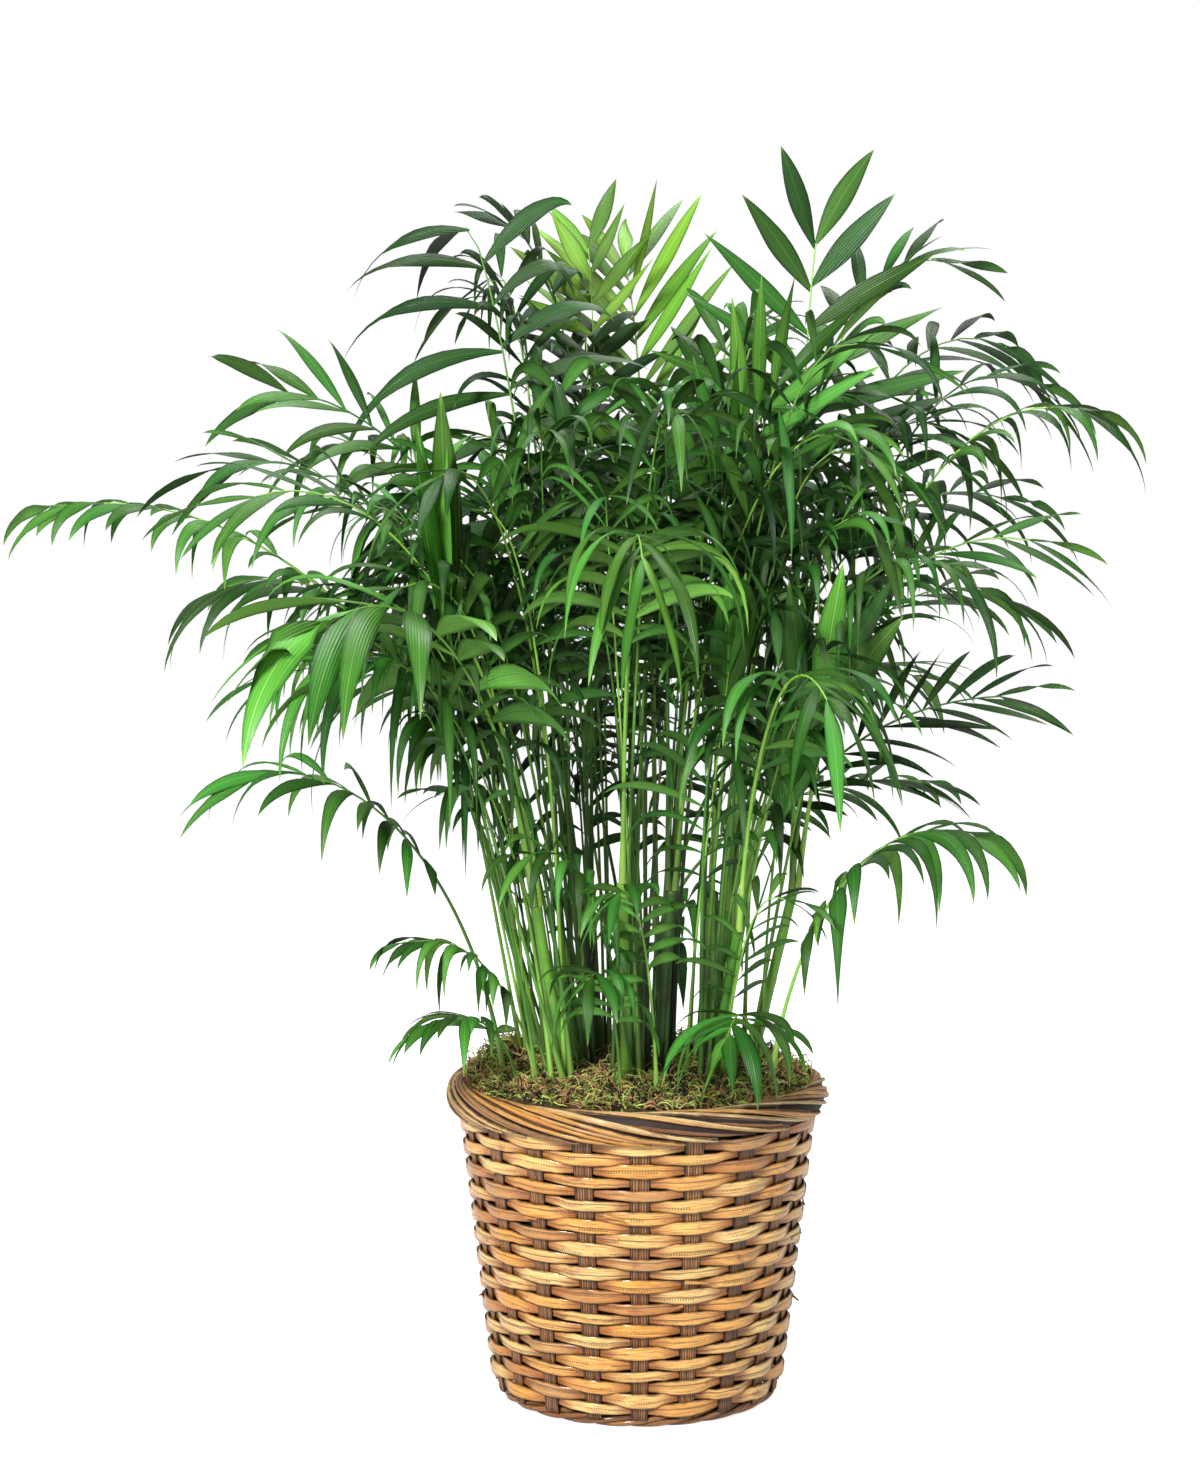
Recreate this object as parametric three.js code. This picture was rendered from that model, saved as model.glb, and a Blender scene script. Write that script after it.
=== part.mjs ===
// Potted parlour palm: a clump of young canes in moss, with arching feather fronds, standing in a woven cane basket.
// Millimetres, +Z up. The origin is the middle of the basket's flat underside, and -Y is the side it is seen from.
import * as THREE from 'three';

const fit = 0.3; // air left between pieces that touch

// Basket
const floorThick = 8;
const footOuter = 102;
const footInner = 90;
const footHigh = 10;
const wallFootRadius = 104; // over the crests of the weaving, at the ground
const wallTopRadius = 128.5;
const wallTop = 206;
const wallThick = 6;
const stakes = 20; // upright slats, each crossed by every course of weaving
const courses = 24;
const weaveRelief = 2; // how far a course stands out over a slat, or sinks behind it
const rimRadius = 129;
const rimHalfWide = 8.5;
const rimHalfHigh = 13;
const rimStrands = 20;
const rimRelief = 1.4;

// Growing medium
const soilTop = 208;
const mossTop = 236;
const mossFlatRadius = 106;
const mossEdgeRadius = 119.6;
const mossEdgeHigh = 224;

// Canes: short ringed stems, set like the seeds of a sunflower and leaning outwards
const caneCount = 14;
const caneSpread = 84;
const goldenTurn = 137.508;
const firstCaneHeading = 20;
const caneShort = 60;
const caneGrowth = 85;
const caneLean = [0.06, 0.26]; // lean over height, in the middle of the clump and at its edge
const caneStages = [[0, 6.2], [0.1, 5], [0.55, 4.4], [0.85, 4.7], [1, 4.9]]; // share of height and radius
const caneSides = 6;
const socketsPerCane = 3;
const socketRadius = 2.7;
const caneShare = 0.25; // a frond's cane stands under this share of its reach

// Ribs
const petioleRadius = 1.7;
const ribTipRadius = 0.8;
const bladeLength = 225; // length of rib that carries leaflets
const bladeMost = 0.58; // and the most of the rib that it may take
const bareShares = [0, 0.25, 0.55, 0.8]; // where the bare petiole has a ring of points
const ribLow = [0.12, 0.6]; // the curve's lower handle: share of the reach and of the crest
const ribHigh = 0.55; // its upper handle, at the crest: share of the reach
const ribClear = 4.2; // least distance between the middles of two ribs
const caneClear = 8.2; // and between a rib's middle and a cane's
const bows = [0, 9, -9, 18, -18, 27, -27, 36, -36, 48, -48, 60, -60]; // sideways bends to try, in order
const curveSteps = 40;

// Leaflets
const fullPairs = 9;
const smallPairs = 6;
const leafRoot = 9; // length of rib that a leaflet grows from
const leafWidth = 15;
const leafSpread = [62, 20]; // degrees off the rib, at the lowest pair and at the last
const leafLift = 0.16;
const leafWidest = 0.42; // share of the length
const leafThick = 0.014; // share of the length
const leafClear = 0.45;
const cellSize = 25;

// The fronds that show, from their names. tip is where the rib ends, arch is how far it rises above that end, leaf is
// the length of its leaflets and droop how far they hang. roll turns the blade about its rib, and side is the heading,
// in degrees, of its right-hand leaflets where they don't lie across the lean. from is a place in the moss whose
// nearest cane carries the frond, and foot is where a frond with no cane springs from the moss.
const shownFronds = {
  far_left: { tip: [-402, -40, 640], arch: 18, leaf: 70, droop: 0.7, roll: -12 },
  left_upper: { tip: [-273, -90, 666], arch: 25, leaf: 80, droop: 0.6, roll: -30 },
  left_front: { tip: [-254, -165, 642], arch: 30, leaf: 85, droop: 0.6, roll: -20 },
  left_lower: { tip: [-305, 60, 582], arch: 35, leaf: 80, droop: 0.75, roll: -15 },
  left_high: { tip: [-253, 20, 723], arch: -8, leaf: 88, droop: 0.35, roll: -60, from: [-70, 40] },
  tall_left: { tip: [-126, 60, 850], leaf: 108, droop: 0.5, side: 0, pairs: 7, from: [-66, 10] },
  tall_left_back: { tip: [-97, 140, 857], arch: -10, leaf: 80, droop: 0.4, from: [10, 70] },
  bright_back: { tip: [-15, 210, 862], leaf: 92, droop: 0.1, side: 0 },
  top_right: { tip: [132, 40, 834], leaf: 88, wide: 19, droop: 0.12, side: 0, pairs: 7, from: [80, 10] },
  right_top: { tip: [224, 90, 826], arch: 15, leaf: 78, droop: 0.35, roll: 25 },
  right_back: { tip: [285, 170, 770], arch: 35, leaf: 80, droop: 0.6, roll: 35 },
  right_high: { tip: [290, 40, 733], arch: 30, leaf: 80, droop: 0.5, roll: 40 },
  far_right: { tip: [318, -50, 707], arch: 32, leaf: 74, droop: 0.5, roll: 15 },
  right_middle_back: { tip: [300, 160, 650], arch: 40, leaf: 85, droop: 0.6, roll: 35 },
  right_middle: { tip: [282, -60, 615], arch: 20, leaf: 78, droop: 0.45, roll: 30 },
  right_under: { tip: [265, 60, 576], arch: 35, leaf: 85, droop: 0.6, roll: 20 },
  right_slant: { tip: [264, 20, 503], arch: -6, leaf: 75, droop: 0.25, roll: 40 },
  right_small: { tip: [218, 110, 434], arch: 12, leaf: 60, droop: 0.5, roll: 20 },
  right_low: { tip: [228, -70, 412], arch: 12, leaf: 72, droop: 0.9, roll: 10, foot: [95, -36] },
  left_low: { tip: [-266, -60, 452], arch: 12, leaf: 68, droop: 0.8, roll: -15, foot: [-96, -26] },
  broad_left: { tip: [-198, -250, 555], arch: 45, leaf: 110, wide: 19, droop: 0.7, roll: -15 },
  front: { tip: [-1, -270, 600], arch: 60, leaf: 100, wide: 17, droop: 0.7 },
  front_right: { tip: [116, -240, 512], arch: 50, leaf: 95, wide: 17, droop: 0.7, roll: 10 },
  fan_right: { tip: [94, -60, 720], leaf: 88, droop: 0.05, side: 0 },
  crown_left: { tip: [-60, -70, 722], arch: 40, leaf: 85, droop: 0.6 },
  low_left_upper: { tip: [-155, -90, 338], arch: 8, blade: 80, leaf: 38, droop: 0.7, foot: [-72, -70] },
  low_left_lower: { tip: [-139, -100, 284], arch: 10, blade: 70, leaf: 38, droop: 0.5, foot: [-86, -56] },
  low_right: { tip: [58, -150, 282], arch: 26, blade: 75, leaf: 46, droop: 1, foot: [83, -58] },
  low_centre_upper: { tip: [-16, -160, 379], arch: 14, blade: 85, leaf: 42, droop: 0.7, foot: [12, -98] },
  low_centre_lower: { tip: [-34, -158, 322], arch: 14, blade: 80, leaf: 42, droop: 0.8, foot: [-13, -99] },
};

// Fronds that fill the crown, in fans: their headings in degrees, reach, and the heights of their ends.
const filledFans = {
  back: { count: 5, headings: [48, 132], reach: 340, heights: [510, 740], leaf: 85, droop: 0.55 },
  inner_front: { count: 3, headings: [-128, -42], reach: 215, heights: [655, 730], leaf: 85, droop: 0.5 },
  inner_back: { count: 2, headings: [55, 105], reach: 150, heights: [770, 790], leaf: 85, droop: 0.35 },
};
const fanArch = 35;
const fanDrawIn = 0.35; // how much less the highest of a fan reaches

const up = new THREE.Vector3(0, 0, 1);

function radians(degrees) {
  return degrees * Math.PI / 180;
}

function mix(a, b, share) {
  return a + (b - a) * share;
}

// A small seeded generator, so that the plant is the same on every run.
function makeRandom(seed) {
  let state = seed >>> 0;
  const next = () => {
    state = (Math.imul(state, 1664525) + 1013904223) >>> 0;
    return state / 4294967296;
  };
  for (let i = 0; i < 3; i++) next();
  return next;
}

function makeMesh(name, positions, triangles, material) {
  const geometry = new THREE.BufferGeometry();
  geometry.setAttribute('position', new THREE.Float32BufferAttribute(positions.flatMap((p) => [p.x, p.y, p.z]), 3));
  geometry.setIndex(triangles.flat());
  geometry.computeVertexNormals();
  const mesh = new THREE.Mesh(geometry, material);
  mesh.name = name;
  return mesh;
}

const materials = {
  weave: new THREE.MeshStandardMaterial({ color: '#c08a45', roughness: 0.5 }),
  rim: new THREE.MeshStandardMaterial({ color: '#b9813f', roughness: 0.45 }),
  foot: new THREE.MeshStandardMaterial({ color: '#8c5a30', roughness: 0.55 }),
  soil: new THREE.MeshStandardMaterial({ color: '#2e2218', roughness: 0.95 }),
  moss: new THREE.MeshStandardMaterial({ color: '#5a5226', roughness: 0.95 }),
  cane: new THREE.MeshStandardMaterial({ color: '#5f9a3c', roughness: 0.45 }),
  frond: new THREE.MeshStandardMaterial({ color: '#2f7d2c', roughness: 0.4, side: THREE.DoubleSide }),
};

// A closed skin over rings of points round the vertical axis, where the last ring joins the first, as on a tyre.
function ringSkin(rings) {
  const around = rings[0].length;
  const triangles = [];
  rings.forEach((ring, i) => {
    const below = i * around;
    const above = ((i + 1) % rings.length) * around;
    for (let k = 0; k < around; k++) {
      const next = (k + 1) % around;
      triangles.push([below + k, below + next, above + next], [below + k, above + next, above + k]);
    }
  });
  return { positions: rings.flat(), triangles };
}

function ringOf(radius, height, segments, relief = () => 0) {
  return Array.from({ length: segments }, (_, k) => {
    const angle = k * 2 * Math.PI / segments;
    const r = radius + relief(k);
    return new THREE.Vector3(r * Math.cos(angle), r * Math.sin(angle), height);
  });
}

function wallRadiusAt(height) {
  return mix(wallFootRadius, wallTopRadius, height / wallTop);
}

// The woven wall: every course passes over one slat and behind the next, so its ring of points goes in and out.
function makeWall() {
  const segments = stakes * 2;
  const bottom = footHigh + fit;
  const courseHigh = (wallTop - bottom) / courses;
  const middleRadiusAt = (height) => wallRadiusAt(height) - weaveRelief;
  const outside = [ringOf(middleRadiusAt(bottom), bottom, segments)];
  for (let row = 0; row < courses; row++) {
    const height = bottom + (row + 0.5) * courseHigh;
    const relief = (k) => weaveRelief * Math.cos((k / 2 + row) * Math.PI);
    outside.push(ringOf(middleRadiusAt(height), height, segments, relief));
  }
  outside.push(ringOf(middleRadiusAt(wallTop), wallTop, segments));
  const inside = [wallTop, bottom].map((height) => ringOf(wallRadiusAt(height) - wallThick, height, segments));
  const { positions, triangles } = ringSkin([...outside, ...inside]);
  return makeMesh('basket_wall', positions, triangles, materials.weave);
}

// The border: a thick ring whose strands run slantwise over it from the inside down to the outside.
function makeRim() {
  const segments = 60;
  const sectionPoints = 8;
  const toCorner = 1 / Math.cos(Math.PI / sectionPoints); // the section lies on one of its flats
  const middle = wallTop + fit + rimHalfHigh;
  const rings = [];
  for (let s = 0; s < sectionPoints; s++) {
    const turn = (s + 0.5) * 2 * Math.PI / sectionPoints;
    const out = toCorner * Math.cos(turn);
    const rise = toCorner * Math.sin(turn);
    const relief = (k) => rimRelief * (Math.cos(k * 2 * Math.PI * rimStrands / segments - 2 * turn) - 1) / 2;
    rings.push(ringOf(rimRadius + rimHalfWide * out, middle + rimHalfHigh * rise, segments, (k) => relief(k) * out));
  }
  const { positions, triangles } = ringSkin(rings);
  return makeMesh('basket_rim', positions, triangles, materials.rim);
}

// The foot hoop: a round rod bound round the floor, flat underneath where it wears on the ground.
function makeFoot() {
  const segments = 40;
  const profile = [
    [footInner, 0],
    [footOuter - 2, 0],
    [footOuter, 3],
    [footOuter, footHigh - 3],
    [footOuter - 2, footHigh],
    [footInner, footHigh],
  ];
  const { positions, triangles } = ringSkin(profile.map(([r, z]) => ringOf(r, z, segments)));
  return makeMesh('basket_foot', positions, triangles, materials.foot);
}

function makeTurned(name, profile, material) {
  const outline = profile.map(([r, z]) => new THREE.Vector2(r, z));
  const geometry = new THREE.LatheGeometry(outline, 40, 0);
  geometry.rotateX(Math.PI / 2);
  const mesh = new THREE.Mesh(geometry, material);
  mesh.name = name;
  return mesh;
}

function makeFloor() {
  const radius = footInner - 1.5 * fit;
  return makeTurned('basket_floor', [[0, 0], [radius, 0], [radius, floorThick], [0, floorThick]], materials.foot);
}

// The liner's load of soil fills the basket up to its border.
function makeRootBall() {
  const radiusAt = (height) => wallRadiusAt(height) - wallThick - 1.7 * fit;
  const bevel = 10;
  const profile = [
    [0, floorThick + fit],
    [footInner - 2, floorThick + fit],
    [radiusAt(footHigh + bevel), footHigh + bevel],
    [radiusAt(wallTop), wallTop],
    [radiusAt(wallTop), soilTop],
    [0, soilTop],
  ];
  return makeTurned('root_ball', profile, materials.soil);
}

function makeMoss() {
  const bottom = soilTop + fit;
  const profile = [
    [0, bottom],
    [mossEdgeRadius - 0.5, bottom],
    [mossEdgeRadius, mossEdgeHigh],
    [mossFlatRadius + 6, mossTop - 4],
    [mossFlatRadius, mossTop],
    [0, mossTop],
  ];
  return makeTurned('moss', profile, materials.moss);
}

// A closed skin over rings of points along a limb, with a flat fan over each end.
function tubeSkin(rings) {
  const around = rings[0].length;
  const triangles = [];
  for (let i = 0; i + 1 < rings.length; i++) {
    for (let k = 0; k < around; k++) {
      const next = (k + 1) % around;
      const a = i * around + k;
      const b = i * around + next;
      triangles.push([a, b, b + around], [a, b + around, a + around]);
    }
  }
  const last = (rings.length - 1) * around;
  for (let k = 1; k + 1 < around; k++) {
    triangles.push([0, k + 1, k], [last, last + k, last + k + 1]);
  }
  return { positions: rings.flat(), triangles };
}

// Where each cane stands, leans and ends, with the places on its top that petioles spring from.
function planCanes() {
  const random = makeRandom(7);
  return Array.from({ length: caneCount }, (_, i) => {
    const out = caneSpread * Math.sqrt((i + 0.5) / caneCount);
    const heading = radians(i * goldenTurn + firstCaneHeading);
    const height = caneShort + caneGrowth * random();
    const lean = mix(...caneLean, out / caneSpread) * height;
    const direction = new THREE.Vector3(Math.cos(heading), Math.sin(heading), 0);
    const foot = direction.clone().multiplyScalar(out).setZ(mossTop + fit);
    const top = direction.clone().multiplyScalar(out + lean).setZ(mossTop + fit + height);
    return { name: `cane_${String(i + 1).padStart(2, '0')}`, foot, top, fronds: [] };
  });
}

function makeCane(cane) {
  const rings = caneStages.map(([share, radius]) => {
    const middle = cane.foot.clone().lerp(cane.top, share);
    return ringOf(radius, 0, caneSides).map((p) => p.add(middle));
  });
  const { positions, triangles } = tubeSkin(rings);
  return makeMesh(cane.name, positions, triangles, materials.cane);
}

// All the fronds' plans: those that show, then those that fill the crown.
function planFronds() {
  const filled = Object.entries(filledFans).flatMap(([name, fan]) => Array.from({ length: fan.count }, (_, k) => {
    const heading = radians(mix(...fan.headings, k / (fan.count - 1)));
    const rise = ((k * 2) % fan.count) / fan.count;
    const reach = fan.reach * (1 - fanDrawIn * rise);
    const tip = [reach * Math.cos(heading), reach * Math.sin(heading), mix(...fan.heights, rise)];
    return [`${name}_${k + 1}`, { tip, arch: fanArch, leaf: fan.leaf, droop: fan.droop }];
  }));
  return [...Object.entries(shownFronds), ...filled].map(([name, plan], index) => ({
    arch: 0,
    roll: 0,
    wide: leafWidth,
    blade: bladeLength,
    pairs: plan.blade ? smallPairs : fullPairs,
    ...plan,
    name: `frond_${name}`,
    index,
    tip: new THREE.Vector3(...plan.tip),
  }));
}

// Each frond takes the nearest cane that still has a place free.
function shareOutCanes(fronds, canes) {
  for (const frond of fronds) {
    if (frond.foot) continue;
    const [x, y] = frond.from ?? [caneShare * frond.tip.x, caneShare * frond.tip.y];
    const free = canes.filter((cane) => cane.fronds.length < socketsPerCane);
    const distance = (cane) => Math.hypot(cane.foot.x - x, cane.foot.y - y);
    const nearest = free.reduce((best, cane) => (distance(cane) < distance(best) ? cane : best));
    nearest.fronds.push(frond);
    frond.cane = nearest;
  }
}

// On a cane's top the frond that leans furthest stands foremost, and the others stand to either side behind it.
function setFeet(fronds, canes) {
  for (const frond of fronds) {
    if (frond.foot) frond.base = new THREE.Vector3(...frond.foot, mossTop + fit);
  }
  for (const cane of canes) {
    const lean = (frond) => Math.hypot(frond.tip.x - cane.top.x, frond.tip.y - cane.top.y);
    const heading = (frond) => Math.atan2(frond.tip.y - cane.top.y, frond.tip.x - cane.top.x);
    const byLean = [...cane.fronds].sort((a, b) => lean(b) - lean(a));
    if (!byLean.length) continue;
    const main = heading(byLean[0]);
    const turned = (frond) => Math.sin(heading(frond) - main);
    const others = byLean.slice(1).sort((a, b) => turned(b) - turned(a));
    [byLean[0], ...others].forEach((frond, i) => {
      const angle = main + i * 2 * Math.PI / socketsPerCane;
      const offset = new THREE.Vector3(Math.cos(angle), Math.sin(angle), 0).multiplyScalar(socketRadius);
      frond.base = cane.top.clone().add(offset).add(new THREE.Vector3(0, 0, fit));
    });
  }
}

// The rib's line: steep from its foot, arching over to its end, with a sideways bow.
function ribCurve(frond, bow) {
  const run = new THREE.Vector3(frond.tip.x - frond.base.x, frond.tip.y - frond.base.y, 0);
  const crest = frond.tip.z - frond.base.z + frond.arch;
  const aside = new THREE.Vector3(run.y, -run.x, 0).normalize().multiplyScalar(bow);
  const low = frond.base.clone()
    .addScaledVector(run, ribLow[0])
    .addScaledVector(up, ribLow[1] * crest)
    .addScaledVector(aside, 0.5);
  const high = frond.base.clone()
    .addScaledVector(run, ribHigh)
    .addScaledVector(up, crest)
    .add(aside);
  return new THREE.CubicBezierCurve3(frond.base, low, high, frond.tip);
}

// Least distance between the stretches a-b and c-d.
function segmentGap(a, b, c, d) {
  const u = b.clone().sub(a);
  const v = d.clone().sub(c);
  const w = a.clone().sub(c);
  const uu = u.dot(u);
  const uv = u.dot(v);
  const vv = v.dot(v);
  const uw = u.dot(w);
  const vw = v.dot(w);
  const area = uu * vv - uv * uv;
  let s = area > 1e-9 ? THREE.MathUtils.clamp((uv * vw - vv * uw) / area, 0, 1) : 0;
  const t = THREE.MathUtils.clamp((uv * s + vw) / vv, 0, 1);
  s = THREE.MathUtils.clamp((uv * t - uw) / uu, 0, 1);
  return w.addScaledVector(u, s).addScaledVector(v, -t).length();
}

function lineGap(line, other) {
  let least = Infinity;
  for (let i = 0; i + 1 < line.length; i++) {
    for (let j = 0; j + 1 < other.length; j++) {
      least = Math.min(least, segmentGap(line[i], line[i + 1], other[j], other[j + 1]));
    }
  }
  return least;
}

// Bows each rib sideways until it is clear of the ribs and canes that are there already.
function layRibs(fronds, canes) {
  const laid = [];
  for (const frond of fronds) {
    const others = canes.filter((cane) => cane !== frond.cane);
    let best = { room: -Infinity };
    for (const bow of bows) {
      const curve = ribCurve(frond, bow);
      const line = curve.getPoints(curveSteps);
      const ribRoom = laid.map((other) => lineGap(line, other) - ribClear);
      const caneRoom = others.map((cane) => lineGap(line, [cane.foot, cane.top]) - caneClear);
      const room = Math.min(...ribRoom, ...caneRoom);
      if (room > best.room) best = { room, curve, line };
      if (room >= 0) break;
    }
    frond.curve = best.curve;
    laid.push(best.line);
  }
}

// The frame at a share of the rib's length: along it, to its right, and out of the frond's upper face.
function ribFrame(frond, share) {
  const at = frond.curve.getPointAt(share);
  const along = frond.curve.getTangentAt(share);
  const lean = new THREE.Vector3(frond.tip.x - frond.base.x, frond.tip.y - frond.base.y, 0).normalize();
  const across = frond.side === undefined
    ? new THREE.Vector3(lean.y, -lean.x, 0)
    : new THREE.Vector3(Math.cos(radians(frond.side)), Math.sin(radians(frond.side)), 0);
  const right = across.addScaledVector(along, -across.dot(along)).normalize();
  right.applyAxisAngle(along, radians(frond.roll * share));
  return { at, along, right, face: right.clone().cross(along) };
}

// The three corners of the rib's section: left and right above, keel below. The first section is level.
function ribSection(frond, share) {
  const { at, along, right, face } = ribFrame(frond, share);
  const radius = mix(petioleRadius, ribTipRadius, share);
  const side = share ? right : right.setZ(0).normalize();
  const top = share ? face : side.clone().cross(up);
  return [-1, 1, 0].map((hand) => at.clone()
    .addScaledVector(side, hand * Math.sqrt(0.75) * radius)
    .addScaledVector(top, hand ? 0.5 * radius : -radius));
}

// A leaflet's widest section and its point. hand is 1 on the right and -1 on the left, and order runs from 0 at the
// lowest pair to 1 at the last.
function leafletShape(frond, root, share, order, hand, form) {
  const { along, right, face } = ribFrame(frond, share);
  const spread = radians(mix(...leafSpread, order) + form.swing);
  const fullness = 0.72 + 0.42 * Math.sin(Math.PI * mix(0.12, 0.9, order)); // longest in the middle of the blade
  const length = frond.leaf * fullness * form.stretch;
  const start = along.clone().multiplyScalar(Math.cos(spread))
    .addScaledVector(right, hand * Math.sin(spread))
    .addScaledVector(face, leafLift + form.lift)
    .normalize();
  const droop = frond.droop * form.droop;
  const at = (s) => root.clone()
    .addScaledVector(start, length * (s - 0.35 * droop * s ** 3))
    .addScaledVector(up, -0.75 * droop * s ** 2 * length);
  const middle = at(leafWidest);
  const flow = at(leafWidest + 0.08).sub(at(leafWidest - 0.08)).normalize();
  const broad = along.clone().addScaledVector(flow, -along.dot(flow)).normalize();
  const under = broad.clone().cross(flow).multiplyScalar(hand).normalize();
  const half = frond.wide / 2 * Math.min(1, 0.55 + length / frond.leaf / 2);
  return {
    section: [
      middle.clone().addScaledVector(broad, -half),
      middle.clone().addScaledVector(broad, half),
      middle.clone().addScaledVector(under, leafThick * length),
    ],
    point: at(1),
  };
}

// The forms that a leaflet tries, from its own to a shorter one, until it is clear of its neighbours.
function* leafletForms(random) {
  const own = {
    swing: 10 * (random() - 0.5),
    lift: 0.16 * (random() - 0.5),
    stretch: 0.92 + 0.16 * random(),
    droop: 0.8 + 0.4 * random(),
  };
  yield own;
  for (const shorter of [1, 0.85, 0.7, 0.55]) {
    const stretch = own.stretch * shorter;
    for (const lift of [0.18, -0.18, 0.36, -0.36]) yield { ...own, lift: own.lift + lift, stretch };
    for (const droop of [0.4, 1.6]) yield { ...own, droop: own.droop * droop, stretch };
  }
}

// Faces that are there already, by the cells of space that they reach into, so that only near ones are compared.
const placed = new Map();

function cellsOf(box, margin) {
  const from = box.min.clone().subScalar(margin).divideScalar(cellSize).floor();
  const to = box.max.clone().addScalar(margin).divideScalar(cellSize).floor();
  const keys = [];
  for (let x = from.x; x <= to.x; x++) {
    for (let y = from.y; y <= to.y; y++) {
      for (let z = from.z; z <= to.z; z++) keys.push(`${x},${y},${z}`);
    }
  }
  return keys;
}

function makeFaces(owner, positions, triangles) {
  return triangles.map((corners) => {
    const face = new THREE.Triangle(...corners.map((k) => positions[k]));
    return { owner, face, box: new THREE.Box3().setFromPoints([face.a, face.b, face.c]) };
  });
}

function place(faces) {
  for (const item of faces) {
    for (const key of cellsOf(item.box, 0)) {
      if (!placed.has(key)) placed.set(key, []);
      placed.get(key).push(item);
    }
  }
}

function placeMesh(mesh) {
  const position = mesh.geometry.getAttribute('position');
  const pointAt = (k) => new THREE.Vector3().fromBufferAttribute(position, k);
  const positions = Array.from({ length: position.count }, (_, k) => pointAt(k));
  const index = Array.from(mesh.geometry.getIndex().array);
  const triangles = Array.from({ length: index.length / 3 }, (_, k) => index.slice(3 * k, 3 * k + 3));
  place(makeFaces(mesh.name, positions, triangles));
}

function passesThrough(from, to, face) {
  const ray = new THREE.Ray(from, to.clone().sub(from).normalize());
  const hit = ray.intersectTriangle(face.a, face.b, face.c, false, new THREE.Vector3());
  return hit !== null && hit.distanceTo(from) <= to.distanceTo(from);
}

function edgesOf(face) {
  return [[face.a, face.b], [face.b, face.c], [face.c, face.a]];
}

function facesAreClear(one, other) {
  const nearest = new THREE.Vector3();
  const cornerNear = (from, to) => [from.a, from.b, from.c]
    .some((corner) => to.closestPointToPoint(corner, nearest).distanceTo(corner) < leafClear);
  if (cornerNear(one, other) || cornerNear(other, one)) return false;
  const ones = edgesOf(one);
  const others = edgesOf(other);
  if (ones.some(([a, b]) => others.some(([c, d]) => segmentGap(a, b, c, d) < leafClear))) return false;
  return !ones.some(([a, b]) => passesThrough(a, b, other)) && !others.some(([a, b]) => passesThrough(a, b, one));
}

function areClear(faces) {
  return faces.every((item) => {
    const reach = item.box.clone().expandByScalar(leafClear);
    const near = cellsOf(item.box, leafClear)
      .flatMap((key) => placed.get(key) ?? [])
      .filter((other) => other.owner !== item.owner && reach.intersectsBox(other.box));
    return near.every((other) => facesAreClear(item.face, other.face));
  });
}

// The rib's rings, from its foot to its end, with two at the root of each pair of leaflets.
function planRib(frond) {
  const length = frond.curve.getLength();
  const blade = Math.min(frond.blade, bladeMost * length);
  const bare = 1 - blade / length;
  const root = leafRoot / length;
  const step = (1 - bare - root) / (frond.pairs - 1);
  const shares = bareShares.map((share) => share * bare);
  for (let i = 0; i < frond.pairs; i++) shares.push(bare + i * step, bare + i * step + root);
  frond.shares = shares;
  frond.rib = tubeSkin(shares.map((share) => ribSection(frond, share)));
}

// One frond as one closed skin: each leaflet grows out of a face of the rib that it replaces.
function makeFrond(frond) {
  const { positions, triangles } = frond.rib;
  const random = makeRandom(101 + frond.index);
  const leaflets = [];
  for (let i = 0; i < frond.pairs; i++) {
    for (const hand of [1, -1]) {
      const ring = bareShares.length + 2 * i;
      const low = 3 * ring;
      const high = low + 3;
      // The root's corners, and the blade's back edge, front edge and keel in the same order.
      const root = hand > 0 ? [low + 1, high + 2, high + 1] : [low + 2, low, high];
      const order = hand > 0 ? [0, 2, 1] : [2, 0, 1];
      const share = mix(frond.shares[ring], frond.shares[ring + 1], 0.5);
      const start = frond.curve.getPointAt(share);
      for (const form of leafletForms(random)) {
        const shape = leafletShape(frond, start, share, i / (frond.pairs - 1), hand, form);
        const section = order.map((k) => shape.section[k]);
        const grown = [...root.map((k) => positions[k]), ...section, shape.point];
        const faces = makeFaces(frond.name, grown, leafletSides([0, 1, 2], [3, 4, 5], 6));
        if (areClear(faces)) {
          place(faces);
          leaflets.push({ root, section, point: shape.point });
          break;
        }
      }
    }
  }
  return joinLeaflets(frond.name, positions, triangles, leaflets);
}

// The sides of a leaflet that rises from three root corners through its widest section to its point.
function leafletSides(root, middle, point) {
  const sides = [];
  for (let k = 0; k < 3; k++) {
    const next = (k + 1) % 3;
    sides.push([root[k], root[next], middle[next]], [root[k], middle[next], middle[k]]);
    sides.push([middle[k], middle[next], point]);
  }
  return sides;
}

function joinLeaflets(name, positions, triangles, leaflets) {
  const key = (corners) => [...corners].sort((a, b) => a - b).join();
  const replaced = new Set(leaflets.map(({ root }) => key(root)));
  const skin = triangles.filter((corners) => !replaced.has(key(corners)));
  for (const { root, section, point } of leaflets) {
    const start = positions.length;
    positions.push(...section, point);
    skin.push(...leafletSides(root, [start, start + 1, start + 2], start + 3));
  }
  return makeMesh(name, positions, skin, materials.frond);
}

const palm = new THREE.Group();
palm.add(makeFloor(), makeFoot(), makeWall(), makeRim(), makeRootBall(), makeMoss());

const canes = planCanes();
const fronds = planFronds();
shareOutCanes(fronds, canes);
setFeet(fronds, canes);
layRibs(fronds, canes);

palm.add(...canes.map(makeCane));
palm.children.forEach(placeMesh);
for (const frond of fronds) {
  planRib(frond);
  place(makeFaces(frond.name, frond.rib.positions, frond.rib.triangles));
}
palm.add(...fronds.map(makeFrond));

export default palm;
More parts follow.
